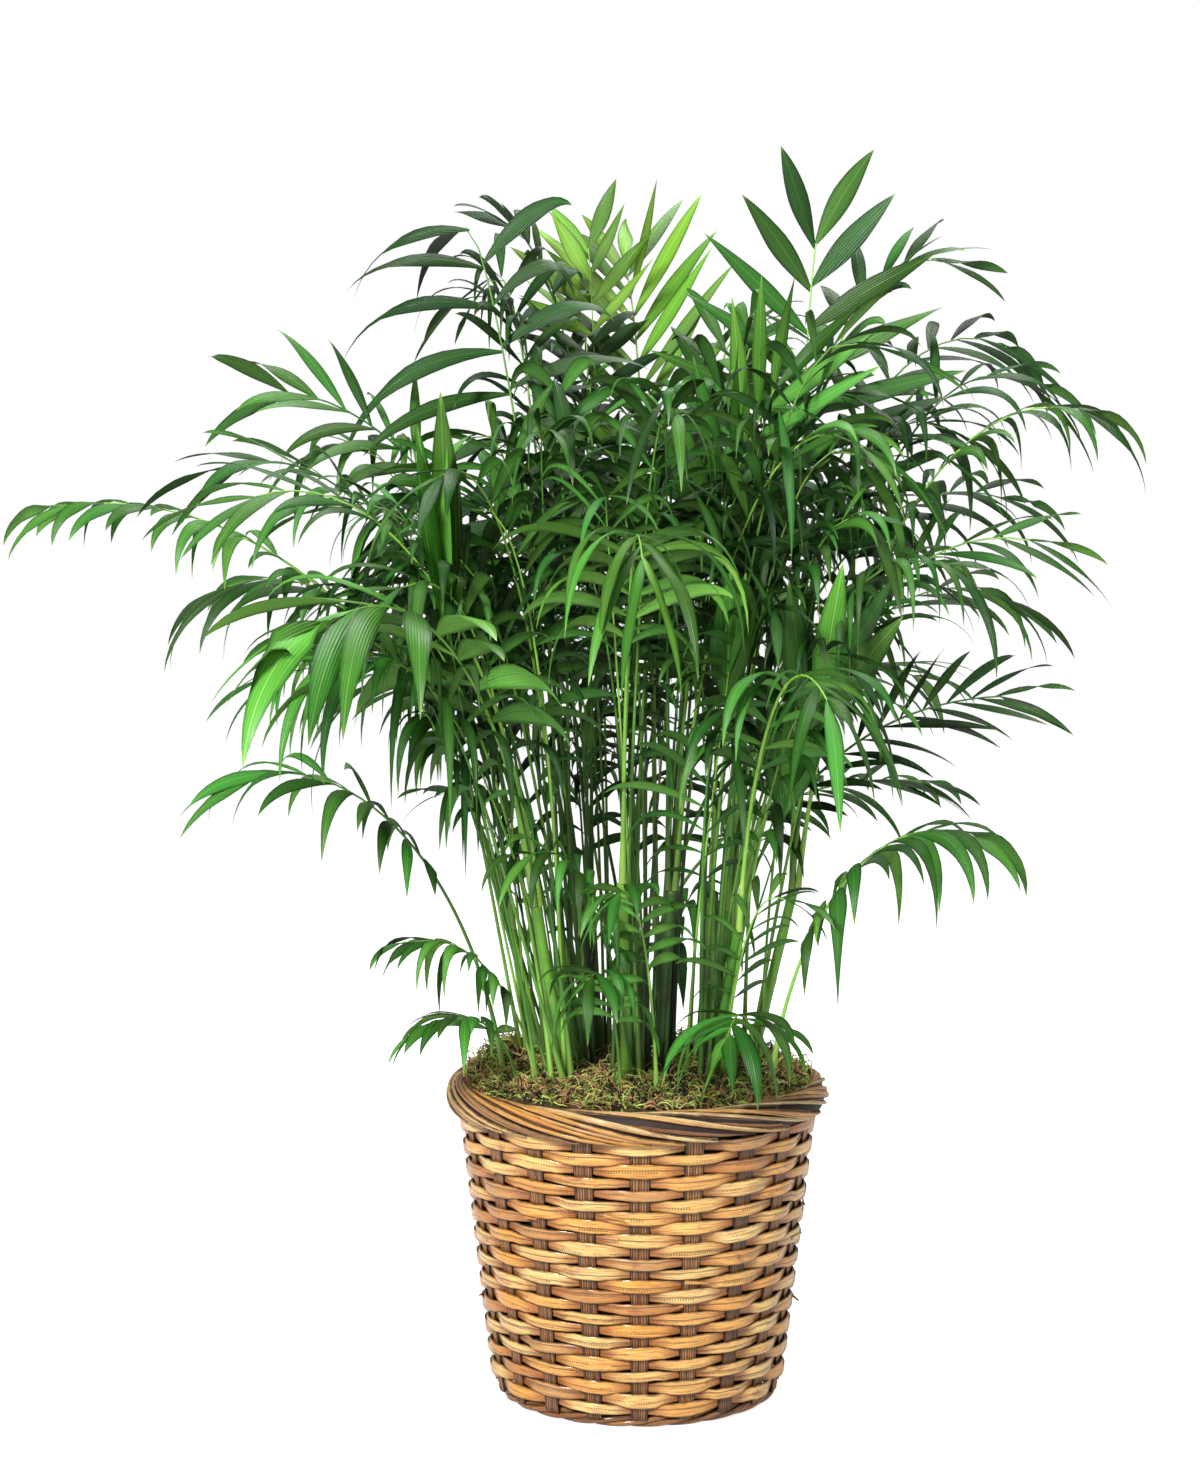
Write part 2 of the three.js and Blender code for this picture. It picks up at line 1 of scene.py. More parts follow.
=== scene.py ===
# Potted parlour palm in a woven cane basket, dressed for rendering. Lengths in the tables are in millimetres.
import math
import bpy
import numpy as np
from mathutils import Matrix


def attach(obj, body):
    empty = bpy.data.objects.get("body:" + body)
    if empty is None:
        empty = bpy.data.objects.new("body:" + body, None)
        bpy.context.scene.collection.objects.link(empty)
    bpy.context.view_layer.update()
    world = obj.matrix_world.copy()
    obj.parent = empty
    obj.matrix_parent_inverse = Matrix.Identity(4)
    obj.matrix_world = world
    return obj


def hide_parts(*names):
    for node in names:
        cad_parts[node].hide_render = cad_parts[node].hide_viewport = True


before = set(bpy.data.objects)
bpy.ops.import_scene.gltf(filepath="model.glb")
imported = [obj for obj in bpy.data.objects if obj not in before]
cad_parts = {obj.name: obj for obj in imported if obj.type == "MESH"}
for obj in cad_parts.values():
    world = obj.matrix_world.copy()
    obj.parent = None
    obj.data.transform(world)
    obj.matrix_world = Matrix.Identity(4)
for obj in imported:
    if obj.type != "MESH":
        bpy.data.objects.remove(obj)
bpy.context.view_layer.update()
mm = 0.001
upward = np.array([0.0, 0.0, 1.0])

# the camera, solved from the ellipses of the basket's border and foot
shot = {"side": -27.2, "distance": 1930.1, "height": 588.2, "pitch": 3.358,  # degrees below level
        "focal": 2682.7, "imageHeight": 1473, "sensor": 36, "farthest": 200}

bpy.ops.object.camera_add(location=(shot["side"] * mm, -shot["distance"] * mm, shot["height"] * mm),
                          rotation=(math.radians(90 - shot["pitch"]), 0, 0))
camera = bpy.context.object
camera.data.sensor_width = shot["sensor"]
camera.data.lens = shot["focal"] / shot["imageHeight"] * shot["sensor"]
camera.data.clip_end = shot["farthest"]
bpy.context.scene.camera = camera
print("camera placed")


# small helpers for numbers

def unit(v):
    return v / np.linalg.norm(v, axis=-1, keepdims=True)


def mix(a, b, share):
    return a + (b - a) * share


def between(value, low, high):  # 0 at low, 1 at high
    return np.clip((value - low) / (high - low), 0, 1)


def towards(angle):  # a level direction
    return np.array([math.cos(angle), math.sin(angle), 0])


def roundAxis(r, angle, z):  # points at a radius and an angle about the upright axis
    return np.column_stack([r * np.cos(angle), r * np.sin(angle), z])


def makeRandom(seed):  # the small generator that the solids are drawn with
    state = seed

    def draw():
        nonlocal state
        state = (state * 1664525 + 1013904223) % 4294967296
        return state / 4294967296
    for _ in range(3):
        draw()
    return draw


def colour(code):  # a hexadecimal sRGB colour as linear light
    parts = [int(code[i:i + 2], 16) / 255 for i in (1, 3, 5)]
    return (*(c / 12.92 if c < 0.04045 else ((c + 0.055) / 1.055) ** 2.4 for c in parts), 1)


# helpers for nodes

def feed(tree, socket, source):  # a socket takes another node's output, a number or a colour's code
    if isinstance(source, bpy.types.NodeSocket):
        tree.links.new(source, socket)
    else:
        socket.default_value = colour(source) if isinstance(source, str) else source


def addNode(tree, kind, settings=None, **values):
    node = tree.nodes.new(kind)
    for key, value in (settings or {}).items():
        setattr(node, key, value)
    for key, value in values.items():
        feed(tree, node.inputs[key.replace("_", " ")], value)
    return node


def mathNode(tree, operation, *sources):
    node = tree.nodes.new("ShaderNodeMath")
    node.operation = operation
    for socket, source in zip(node.inputs, sources):
        feed(tree, socket, source)
    return node.outputs[0]


def times(tree, first, second):
    return mathNode(tree, "MULTIPLY", first, second)


def minus(tree, first, second):
    return mathNode(tree, "SUBTRACT", first, second)


def timesPlus(tree, first, second, third):
    return mathNode(tree, "MULTIPLY_ADD", first, second, third)


def ramp(tree, value, low, high=1.0, most=1.0, smooth=False):  # 0 at low, most at high
    kind = "SMOOTHSTEP" if smooth else "LINEAR"
    node = addNode(tree, "ShaderNodeMapRange", {"interpolation_type": kind}, From_Min=low, From_Max=high,
                   To_Max=most, Value=value)
    return node.outputs[0]


def mixColours(tree, share, first, second):
    node = tree.nodes.new("ShaderNodeMix")
    node.data_type = "RGBA"
    for number, source in ((0, share), (6, first), (7, second)):
        feed(tree, node.inputs[number], source)
    return node.outputs[2]


def newGroup(name, inputs, outputs):
    tree = bpy.data.node_groups.new(name, "ShaderNodeTree")
    for title, value in inputs.items():
        tree.interface.new_socket(title, in_out="INPUT", socket_type="NodeSocketFloat").default_value = value
    for title in outputs:
        tree.interface.new_socket(title, in_out="OUTPUT", socket_type="NodeSocketFloat")
    return tree, tree.nodes.new("NodeGroupInput").outputs, tree.nodes.new("NodeGroupOutput").inputs


def placeGroup(tree, group, **values):
    node = tree.nodes.new("ShaderNodeGroup")
    node.node_tree = group
    for key, value in values.items():
        feed(tree, node.inputs[key], value)
    return node.outputs


def startMaterial(name):
    material = bpy.data.materials.new(name)
    material.use_nodes = True
    return material, material.node_tree, material.node_tree.nodes["Principled BSDF"]


def setShader(tree, shader, **values):
    for key, value in values.items():
        feed(tree, shader.inputs[key.replace("_", " ")], value)


def bumpInto(tree, shader, height, strength, distance):
    bump = addNode(tree, "ShaderNodeBump", Strength=strength, Distance=distance, Height=height)
    setShader(tree, shader, Normal=bump.outputs["Normal"])


# helpers for meshes

def startPiece(name, addPrimitive, **settings):  # a primitive at its size and place, alone in the selection
    bpy.ops.object.select_all(action="DESELECT")
    addPrimitive(**settings)
    piece = bpy.context.object
    piece.name = name
    piece.data.name = name
    return piece


def editMesh(select="SELECT"):
    bpy.ops.object.mode_set(mode="EDIT")
    bpy.ops.mesh.select_all(action=select)


def leaveMesh():
    bpy.ops.object.mode_set(mode="OBJECT")


def patternOf(piece):  # the vertices and faces of a modelled piece, which is then put away
    mesh = piece.data
    points = np.empty(len(mesh.vertices) * 3)
    mesh.vertices.foreach_get("co", points)
    faces = [tuple(face.vertices) for face in mesh.polygons]
    bpy.data.objects.remove(piece)
    return {"points": points.reshape(-1, 3), "faces": faces}


def joinCopies(name, pattern, copies, material, tones=None, uv=None):
    # copies holds the vertices of each copy, tones a value per copy or per vertex, and uv a place per vertex
    count = len(pattern["points"])
    mesh = bpy.data.meshes.new(name)
    lengths = np.array([len(face) for face in pattern["faces"]])
    corners = np.concatenate([np.array(face) for face in pattern["faces"]])
    shifts = np.arange(len(copies)) * count
    loops = (corners[None, :] + shifts[:, None]).ravel()
    sizes = np.tile(lengths, len(copies))
    mesh.vertices.add(count * len(copies))
    mesh.vertices.foreach_set("co", np.concatenate(copies).ravel())
    mesh.loops.add(len(loops))
    mesh.loops.foreach_set("vertex_index", loops)
    mesh.polygons.add(len(sizes))
    mesh.polygons.foreach_set("loop_start", np.concatenate([[0], np.cumsum(sizes)[:-1]]))
    mesh.polygons.foreach_set("loop_total", sizes)
    mesh.polygons.foreach_set("use_smooth", np.ones(len(sizes), dtype=bool))
    mesh.update(calc_edges=True)
    if uv is not None:  # one map for every copy, or one for each
        spread = np.tile(uv[corners], (len(copies), 1)) if uv.ndim == 2 else uv.reshape(-1, 2)[loops]
        mesh.uv_layers.new(name="OFBake").uv.foreach_set("vector", spread.ravel())
    if tones is not None:
        flat = np.ones((count * len(copies), 4))
        flat[:, :3] = np.concatenate([np.broadcast_to(value, (count, 3)) for value in tones])
        mesh.attributes.new("tone", "FLOAT_COLOR", "POINT").data.foreach_set("color", flat.ravel())
    mesh.materials.append(material)
    piece = bpy.data.objects.new(name, mesh)
    bpy.context.scene.collection.objects.link(piece)
    return piece


def finishPiece(piece, nodes=()):
    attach(piece, "root")
    if nodes:
        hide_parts(*nodes)
    print(piece.name, len(piece.data.polygons), "faces")


# floor and light; floorGlow and air are strengths as light on the plant, and as the camera sees them
studio = {"floorRadius": 40, "floorSides": 128, "floorColour": (0.62, 0.62, 0.62, 1), "floorRough": 0.9,
          "floorShine": 0.1, "floorGlow": (0.1, 0.84), "air": (0.26, 1), "airColour": (1, 1, 1, 1),
          "lights": {"keyLight": {"at": (-1.3, -2.45, 1.9), "aim": (0, 0, 0.45), "size": 0.8, "power": 146},
                     "fillLight": {"at": (2.2, -1.6, 1.3), "aim": (0, 0, 0.45), "size": 1.6, "power": 18},
                     "topLight": {"at": (0.3, 0.9, 2.9), "aim": (0, 0, 0.6), "size": 1.6, "power": 62}}}


def hangLight(name, light):
    bpy.ops.object.light_add(type="AREA", location=light["at"])
    lamp = bpy.context.object
    lamp.name = name
    lamp.data.shape = "DISK"
    lamp.data.size = light["size"]
    lamp.data.energy = light["power"]
    aim = np.array(light["aim"]) - np.array(light["at"])
    tilt = math.acos(-aim[2] / np.linalg.norm(aim))
    lamp.rotation_euler = (tilt, 0, math.atan2(aim[1], aim[0]) - math.pi / 2)


def cameraSees(tree, others, seen):  # full strength for the picture, which stays white, and less as light
    isSeen = tree.nodes.new("ShaderNodeLightPath").outputs["Is Camera Ray"]
    return addNode(tree, "ShaderNodeMapRange", To_Min=others, To_Max=seen, Value=isSeen).outputs[0]


def makeStudio():
    for name, light in studio["lights"].items():
        hangLight(name, light)
    floor = startPiece("studioFloor", bpy.ops.mesh.primitive_circle_add, vertices=studio["floorSides"],
                       radius=studio["floorRadius"], fill_type="NGON")
    paint, tree, shader = startMaterial("floorPaint")
    setShader(tree, shader, Base_Color=studio["floorColour"], Roughness=studio["floorRough"],
              Specular_IOR_Level=studio["floorShine"], Emission_Color=studio["airColour"],
              Emission_Strength=cameraSees(tree, *studio["floorGlow"]))
    floor.data.materials.append(paint)
    world = bpy.data.worlds.new("studioAir")
    world.use_nodes = True
    tree = world.node_tree
    setShader(tree, tree.nodes["Background"], Color=studio["airColour"],
              Strength=cameraSees(tree, *studio["air"]))
    bpy.context.scene.world = world
    bpy.context.scene.view_settings.view_transform = "Standard"


makeStudio()
print("studio lit")


# effects that several materials share
veinShape = {"sharpness": 2.5, "ribNarrow": 22.0, "ribHeight": 1.5}
fibreShape = {"drift": (0.5, 4.0, 11.0, 0.7), "ragged": (1.3, 2.0, 3.0), "raggedBy": 0.7, "edge": (0.55, 1.0),
              "dotPlace": (0.3, 0.3), "dotWidth": 0.05, "dotBeat": 34.0, "dotGap": 0.1,
              "dotRuns": (0.22, 0.1, 1.0), "stain": (0.56, 0.74), "stainRuns": (0.45, 1.2, 4.0),
              "splitWander": (0.5, 0.0, 2.0), "splitWobble": (0.14, -0.07), "splitPlace": (0.3, 0.4),
              "splitWidth": 0.04, "splitPick": 7.3, "splitMissing": 0.45}


def makeMottle():  # soft clouds, and the same nine times finer
    tree, source, result = newGroup("mottle", {"Scale": 20.0, "Contrast": 1.0}, ("Cloud", "Fine"))
    place = tree.nodes.new("ShaderNodeTexCoord").outputs["Object"]
    for title, detail, factor in (("Cloud", 3, 1), ("Fine", 6, 9)):
        noise = addNode(tree, "ShaderNodeTexNoise", Detail=detail, Roughness=0.6, Vector=place,
                        Scale=times(tree, source["Scale"], factor))
        centred = minus(tree, noise.outputs["Fac"], 0.5)
        stretched = timesPlus(tree, centred, source["Contrast"], 0.5)
        limited = mathNode(tree, "MINIMUM", mathNode(tree, "MAXIMUM", stretched, 0.0), 1.0)
        feed(tree, result[title], limited)
    return tree


def makeVeins():
    tree, source, result = newGroup("leafVeins", {"Across": 0.0, "Lines": 14.0}, ("Vein", "Rib", "Height"))
    turns = times(tree, source["Across"], source["Lines"])
    wave = mathNode(tree, "COSINE", times(tree, turns, 2 * math.pi))
    vein = mathNode(tree, "POWER", timesPlus(tree, wave, 0.5, 0.5), veinShape["sharpness"])
    fromMiddle = mathNode(tree, "ABSOLUTE", minus(tree, source["Across"], 0.5))
    offRib = mathNode(tree, "MINIMUM", times(tree, fromMiddle, veinShape["ribNarrow"]), 1.0)
    rib = minus(tree, 1.0, offRib)
    feed(tree, result["Vein"], vein)
    feed(tree, result["Rib"], rib)
    feed(tree, result["Height"], timesPlus(tree, rib, veinShape["ribHeight"], vein))
    return tree


def makeFibre():
    # split cane: long fibres, rows of small dots, edges darkened near black (real brown edges, and painted
    # shade where courses and strands meet), stains and splits. Along is in centimetres and Across goes from 0
    # to 1
    tree, source, result = newGroup("caneFibre", {"Along": 0.0, "Across": 0.0, "Offset": 0.0, "Fibres": 24.0},
                                    ("Fibre", "Edge", "Dots", "Stain", "Split"))
    shape = fibreShape

    def noiseOver(alongScale, acrossScale, detail, shift=37.0, roughness=0.65):
        place = addNode(tree, "ShaderNodeCombineXYZ", X=times(tree, source["Along"], alongScale),
                        Y=times(tree, source["Across"], acrossScale), Z=times(tree, source["Offset"], shift))
        noise = addNode(tree, "ShaderNodeTexNoise", Scale=1.0, Detail=detail, Roughness=roughness,
                        Vector=place.outputs[0])
        return noise.outputs["Fac"]

    drift, detail, shift, roughness = shape["drift"]
    feed(tree, result["Fibre"], noiseOver(drift, source["Fibres"], detail, shift, roughness))

    fromMiddle = times(tree, mathNode(tree, "ABSOLUTE", minus(tree, source["Across"], 0.5)), 2.0)
    ragged = timesPlus(tree, minus(tree, noiseOver(*shape["ragged"]), 0.5), shape["raggedBy"], fromMiddle)
    feed(tree, result["Edge"], ramp(tree, ragged, *shape["edge"], smooth=True))

    linePlace = timesPlus(tree, source["Offset"], *shape["dotPlace"])
    fromLine = mathNode(tree, "ABSOLUTE", minus(tree, source["Across"], linePlace))
    onLine = mathNode(tree, "LESS_THAN", fromLine, shape["dotWidth"])
    beat = mathNode(tree, "SINE", times(tree, source["Along"], shape["dotBeat"]))
    onBeat = mathNode(tree, "GREATER_THAN", beat, shape["dotGap"])
    here = mathNode(tree, "GREATER_THAN", noiseOver(*shape["dotRuns"]), 0.5)
    feed(tree, result["Dots"], times(tree, times(tree, onLine, onBeat), here))

    feed(tree, result["Stain"], ramp(tree, noiseOver(*shape["stainRuns"]), *shape["stain"], smooth=True))

    wobble = timesPlus(tree, noiseOver(*shape["splitWander"]), *shape["splitWobble"])
    splitPlace = timesPlus(tree, source["Offset"], *shape["splitPlace"])
    fromSplit = mathNode(tree, "ADD", minus(tree, source["Across"], splitPlace), wobble)
    onSplit = mathNode(tree, "LESS_THAN", mathNode(tree, "ABSOLUTE", fromSplit), shape["splitWidth"])
    pick = mathNode(tree, "FRACT", times(tree, source["Offset"], shape["splitPick"]))
    isSplit = mathNode(tree, "GREATER_THAN", pick, shape["splitMissing"])
    feed(tree, result["Split"], times(tree, onSplit, isSplit))
    return tree


mottle = makeMottle()
leafVeins = makeVeins()
caneFibre = makeFibre()
print("shared effects made")


def surfacePlace(tree):  # the piece's own map, as its two directions
    place = addNode(tree, "ShaderNodeUVMap", {"uv_map": "OFBake"})
    parts = addNode(tree, "ShaderNodeSeparateXYZ", Vector=place.outputs[0])
    return parts.outputs[0], parts.outputs[1]


def toneOf(tree):  # the three values that each vertex carries
    tone = addNode(tree, "ShaderNodeAttribute", {"attribute_name": "tone"})
    return addNode(tree, "ShaderNodeSeparateColor", Color=tone.outputs["Color"]).outputs


def clouds(tree, scale, contrast):
    return placeGroup(tree, mottle, Scale=scale, Contrast=contrast)


def layColours(tree, base, *layers):  # each layer is a mask, how much of it shows, and its colour
    for mask, share, paint in layers:
        base = mixColours(tree, times(tree, mask, share), base, paint)
    return base


def mottledMaterial(name, scale, contrast, dark, light, roughness, uneven=0, fleck=None, bump=None):
    material, tree, shader = startMaterial(name)
    cloud = clouds(tree, scale, contrast)
    base = mixColours(tree, cloud["Cloud"], dark, light)
    if fleck:
        base = mixColours(tree, cloud["Fine"], base, fleck)
    if uneven:
        roughness = timesPlus(tree, cloud["Fine"], uneven, roughness)
    setShader(tree, shader, Base_Color=base, Roughness=roughness)
    if bump:
        bumpInto(tree, shader, cloud["Fine"], *bump)
    return material


# the plan of the plant, by the rule that its solids follow
cane = {"count": 14, "spread": 84, "turn": 137.508, "firstHeading": 20, "short": 60, "growth": 85,
        "lean": (0.06, 0.26), "foot": 236.3, "sockets": 3, "socketRadius": 2.7, "socketLift": 0.3,
        "share": 0.25, "stages": ((0, 6), (0.1, 4.6), (0.55, 3.9), (0.85, 3.9), (1, 4))}
rib = {"low": (0.12, 0.6), "high": 0.55, "blade": 225, "bladeMost": 0.58, "clear": 4.2, "caneClear": 8.2,
       "bows": (0, 9, -9, 18, -18, 27, -27, 36, -36, 48, -48, 60, -60), "steps": 40, "root": 4,
       "foot": 2.0, "tip": 0.6}
leaflet = {"wide": 11.5, "long": 1.1, "spread": (58, 20), "lift": 0.16, "pairs": 11, "smallPairs": 8}

shownFronds = {
    "far_left": dict(tip=(-402, -40, 640), arch=18, leaf=62, droop=0.7, roll=-12, kind="mid"),
    "left_upper": dict(tip=(-273, -90, 666), arch=25, leaf=88, wide=9.5, droop=0.5, roll=-30, kind="deep"),
    "left_front": dict(tip=(-254, -165, 642), arch=30, leaf=92, wide=9.5, droop=0.5, roll=-20, kind="deep"),
    "left_lower": dict(tip=(-305, 60, 582), arch=35, leaf=84, wide=9, droop=0.7, roll=-15, kind="deep"),
    "left_high": dict(tip=(-253, 20, 723), arch=-8, leaf=88, droop=0.35, roll=-60, start=(-70, 40),
                      kind="mid"),
    "tall_left": dict(tip=(-126, 60, 846), leaf=118, wide=14, droop=0.6, side=0, pairs=8, spread=(88, 40),
                      start=(-66, 10), lean=0.42, crest=0.8, kind="dark"),
    "tall_left_back": dict(tip=(-97, 140, 857), arch=-10, leaf=80, droop=0.4, start=(10, 70), kind="dark"),
    "bright_back": dict(tip=(-8, 205, 838), leaf=112, wide=13, droop=0.12, side=-8, spread=(46, 14),
                        upright=40, kind="bright"),
    "top_right": dict(tip=(130, 40, 832), leaf=103, wide=18, droop=0.12, side=0, pairs=8, spread=(72, 22),
                      start=(80, 10), upright=50, kind="deep"),
    "right_top": dict(tip=(224, 90, 826), arch=15, leaf=78, droop=0.35, roll=25, kind="deep"),
    "right_back": dict(tip=(285, 170, 770), arch=35, leaf=80, wide=9.5, droop=0.6, roll=35, kind="dark"),
    "right_high": dict(tip=(280, 40, 733), arch=30, leaf=82, wide=8.5, droop=0.55, roll=40, kind="dark"),
    "far_right": dict(tip=(306, -50, 706), arch=24, leaf=76, wide=8.5, droop=0.75, roll=12, kind="deep"),
    "right_middle_back": dict(tip=(288, 160, 650), arch=36, leaf=80, wide=8.5, droop=0.6, roll=35,
                              kind="dark"),
    "right_middle": dict(tip=(272, -60, 615), arch=20, leaf=82, wide=8, droop=0.45, roll=44, kind="deep"),
    "right_under": dict(tip=(265, 60, 576), arch=35, leaf=85, wide=8.5, droop=0.6, roll=20, kind="deep"),
    "right_slant": dict(tip=(264, 20, 503), arch=-6, leaf=78, wide=7.5, droop=0.25, roll=55, kind="dark"),
    "right_small": dict(tip=(218, 110, 434), arch=12, leaf=62, wide=8, droop=0.5, roll=20, kind="deep"),
    "right_low": dict(tip=(220, -70, 412), arch=12, blade=152, leaf=84, wide=12, droop=0.9, roll=10,
                      spread=(70, 12), pairs=9, foot=(95, -36), kind="mid"),
    "left_low": dict(tip=(-266, -60, 452), arch=12, blade=140, leaf=84, wide=11, droop=0.6, roll=-15,
                     spread=(70, 12), pairs=9, foot=(-96, -26), kind="mid"),
    "broad_left": dict(tip=(-198, -250, 560), arch=45, leaf=122, wide=21, droop=0.55, roll=-15, pairs=8,
                       spread=(66, 12), kind="fresh"),
    "front": dict(tip=(-1, -270, 600), arch=60, leaf=104, wide=12, droop=0.7, blade=165, pairs=10,
                  kind="fresh"),
    "front_right": dict(tip=(116, -240, 512), arch=50, leaf=95, wide=12, droop=0.7, roll=10, blade=180,
                        pairs=10, kind="mid"),
    "fan_right": dict(tip=(94, -60, 720), leaf=96, wide=13, droop=0.05, side=0, spread=(50, 12), upright=60,
                      kind="fresh"),
    "crown_left": dict(tip=(-60, -70, 722), arch=40, leaf=85, droop=0.6, kind="deep"),
    "low_left_upper": dict(tip=(-155, -90, 338), arch=8, blade=80, leaf=50, wide=9, droop=0.9,
                           foot=(-72, -70), kind="mid"),
    "low_left_lower": dict(tip=(-139, -100, 284), arch=10, blade=70, leaf=50, wide=9, droop=0.6,
                           foot=(-86, -56), kind="mid"),
    "low_right": dict(tip=(58, -150, 282), arch=26, blade=75, leaf=62, wide=15, droop=0.8, pairs=7,
                      spread=(85, 20), foot=(83, -58), kind="mid"),
    "low_centre_upper": dict(tip=(-16, -160, 379), arch=14, blade=85, leaf=56, wide=10, droop=0.7,
                             foot=(12, -98), kind="mid"),
    "low_centre_lower": dict(tip=(-34, -158, 322), arch=14, blade=80, leaf=56, wide=10, droop=0.8,
                             foot=(-13, -99), kind="mid"),
}
filledFans = {
    "back": dict(count=5, headings=(48, 132), reach=340, heights=(510, 740), leaf=85, wide=9.5, droop=0.55),
    "inner_front": dict(count=3, headings=(-128, -42), reach=215, heights=(655, 730), leaf=85, wide=9.5,
                        droop=0.5),
    "inner_back": dict(count=2, headings=(55, 105), reach=150, heights=(770, 790), leaf=85, wide=10,
                       droop=0.35),
}
fan = {"arch": 35, "drawIn": 0.35, "kinds": ("deep", "dark", "mid")}

# younger fronds that thicken the crown between those, each on its own stem from the moss
youngFans = {
    "right": dict(count=18, headings=(-62, 62), reach=(80, 215), heights=(600, 775), leaf=(76, 96), lean=0.12,
                  kinds=("dark", "deep", "dark", "mid")),
    "right_out": dict(count=7, headings=(-80, 40), reach=(150, 215), heights=(480, 600), leaf=(72, 90),
                      lean=0.3, kinds=("deep", "dark", "deep")),
    "left": dict(count=15, headings=(118, 242), reach=(90, 225), heights=(580, 735), leaf=(76, 96), lean=0.15,
                 kinds=("deep", "mid", "dark")),
    "left_out": dict(count=12, headings=(146, 232), reach=(150, 245), heights=(500, 630), leaf=(84, 106),
                     lean=0.4, kinds=("deep", "mid", "deep")),
    "back": dict(count=14, headings=(56, 124), reach=(90, 250), heights=(460, 750), leaf=(76, 96), lean=0.2,
                 kinds=("dark", "deep", "mid")),
    "front": dict(count=7, headings=(242, 298), reach=(80, 190), heights=(590, 700), leaf=(72, 92), lean=0.2,
                  kinds=("deep", "mid", "mid")),
    "low": dict(count=6, headings=(20, 344), reach=(90, 160), heights=(340, 470), leaf=(46, 66), lean=0.3,
                kinds=("mid", "deep")),
    "left_top": dict(count=2, headings=(112, 166), reach=(105, 165), heights=(772, 836), leaf=(84, 104),
                     lean=0.3, kinds=("dark", "deep")),
    "left_side": dict(count=5, headings=(160, 222), reach=(205, 262), heights=(520, 670), leaf=(80, 100),
                      lean=0.4, kinds=("deep", "mid")),
    "right_side": dict(count=3, headings=(-32, 30), reach=(205, 245), heights=(560, 760), leaf=(76, 92),
                       lean=0.3, kinds=("dark", "deep")),
}
young = {"pairs": 9, "wide": (0.5, 0.8), "blade": (0.48, 0.8), "level": 0.6, "bow": 14, "bowTurn": 2.4,
         "lift": 0.3, "arch": 30, "archBy": (0.3, 1.4), "roll": (-50, 50), "droop": (0.5, 1),
         "caneNear": (0.3, 0.6), "footNear": (6, 15), "footHigh": 230, "lowBlade": 105}

lances = {  # young leaves still in one or two broad blades
    "left": dict(tip=(-129, -130, 562), arch=-130, leaf=158, wide=24, spread=(6, 3), kind="fresh"),
    "right": dict(tip=(124, -96, 502), arch=-50, foot=0.4, leaf=118, wide=22, spread=(20, 7), kind="fresh"),
    "right_low": dict(tip=(104, -70, 440), arch=-80, foot=0.5, leaf=92, wide=18, spread=(16, 8),
                      kind="fresh"),
    "middle": dict(tip=(60, -110, 525), arch=-70, leaf=80, wide=17, spread=(14, 8), kind="fresh"),
    "back": dict(tip=(-60, 150, 620), arch=-80, leaf=130, wide=24, spread=(18, 8), kind="mid"),
    "bright": dict(tip=(-36, 150, 842), arch=-50, blade=92, pairs=5, leaf=62, wide=13, spread=(56, 22),
                   kind="bright"),
    "behind": dict(tip=(86, 170, 560), arch=-60, leaf=120, wide=24, spread=(18, 8), kind="fresh"),
}
lance = {"roll": 0, "side": 0, "blade": 20, "pairs": 2, "droop": 0.05, "lean": 0.2, "crest": 0.75,
         "lift": 0.1, "level": 0, "bow": 0, "foot": 0.55}  # foot is a share of the tip's place


def planCanes():
    random = makeRandom(7)
    canes = []
    for i in range(cane["count"]):
        out = cane["spread"] * math.sqrt((i + 0.5) / cane["count"])
        direction = towards(math.radians(i * cane["turn"] + cane["firstHeading"]))
        height = cane["short"] + cane["growth"] * random()
        lean = mix(*cane["lean"], out / cane["spread"]) * height
        foot = direction * out + upward * cane["foot"]
        top = direction * (out + lean) + upward * (cane["foot"] + height)
        canes.append({"name": f"cane_{i + 1:02d}", "foot": foot, "top": top, "fronds": []})
    return canes


def planFronds():
    plans = list(shownFronds.items())
    for name, row in filledFans.items():
        for k in range(row["count"]):
            heading = math.radians(mix(*row["headings"], k / (row["count"] - 1)))
            rise = (k * 2) % row["count"] / row["count"]
            reach = row["reach"] * (1 - fan["drawIn"] * rise)
            tip = (reach * math.cos(heading), reach * math.sin(heading), mix(*row["heights"], rise))
            plan = dict(tip=tip, arch=fan["arch"], leaf=row["leaf"], wide=row["wide"], droop=row["droop"],
                        kind=fan["kinds"][k % len(fan["kinds"])])
            plans.append((f"{name}_{k + 1}", plan))
    fronds = []
    for index, (name, plan) in enumerate(plans):
        pairs = leaflet["smallPairs"] if "blade" in plan else leaflet["pairs"]
        frond = dict(arch=0, roll=0, wide=leaflet["wide"], blade=rib["blade"], pairs=pairs, side=None,
                     spread=leaflet["spread"], lean=rib["low"][0], crest=rib["high"], lift=leaflet["lift"],
                     level=0, upright=0)
        frond.update(plan, name="frond_" + name, index=index)
        frond["tip"] = np.array(plan["tip"], dtype=float)
        fronds.append(frond)
    return fronds


def shareOutCanes(fronds, canes):
    for frond in fronds:
        if "foot" in frond:
            continue
        x, y = frond.get("start", frond["tip"][:2] * cane["share"])
        free = [one for one in canes if len(one["fronds"]) < cane["sockets"]]
        nearest = min(free, key=lambda one: math.hypot(one["foot"][0] - x, one["foot"][1] - y))
        nearest["fronds"].append(frond)
        frond["cane"] = nearest


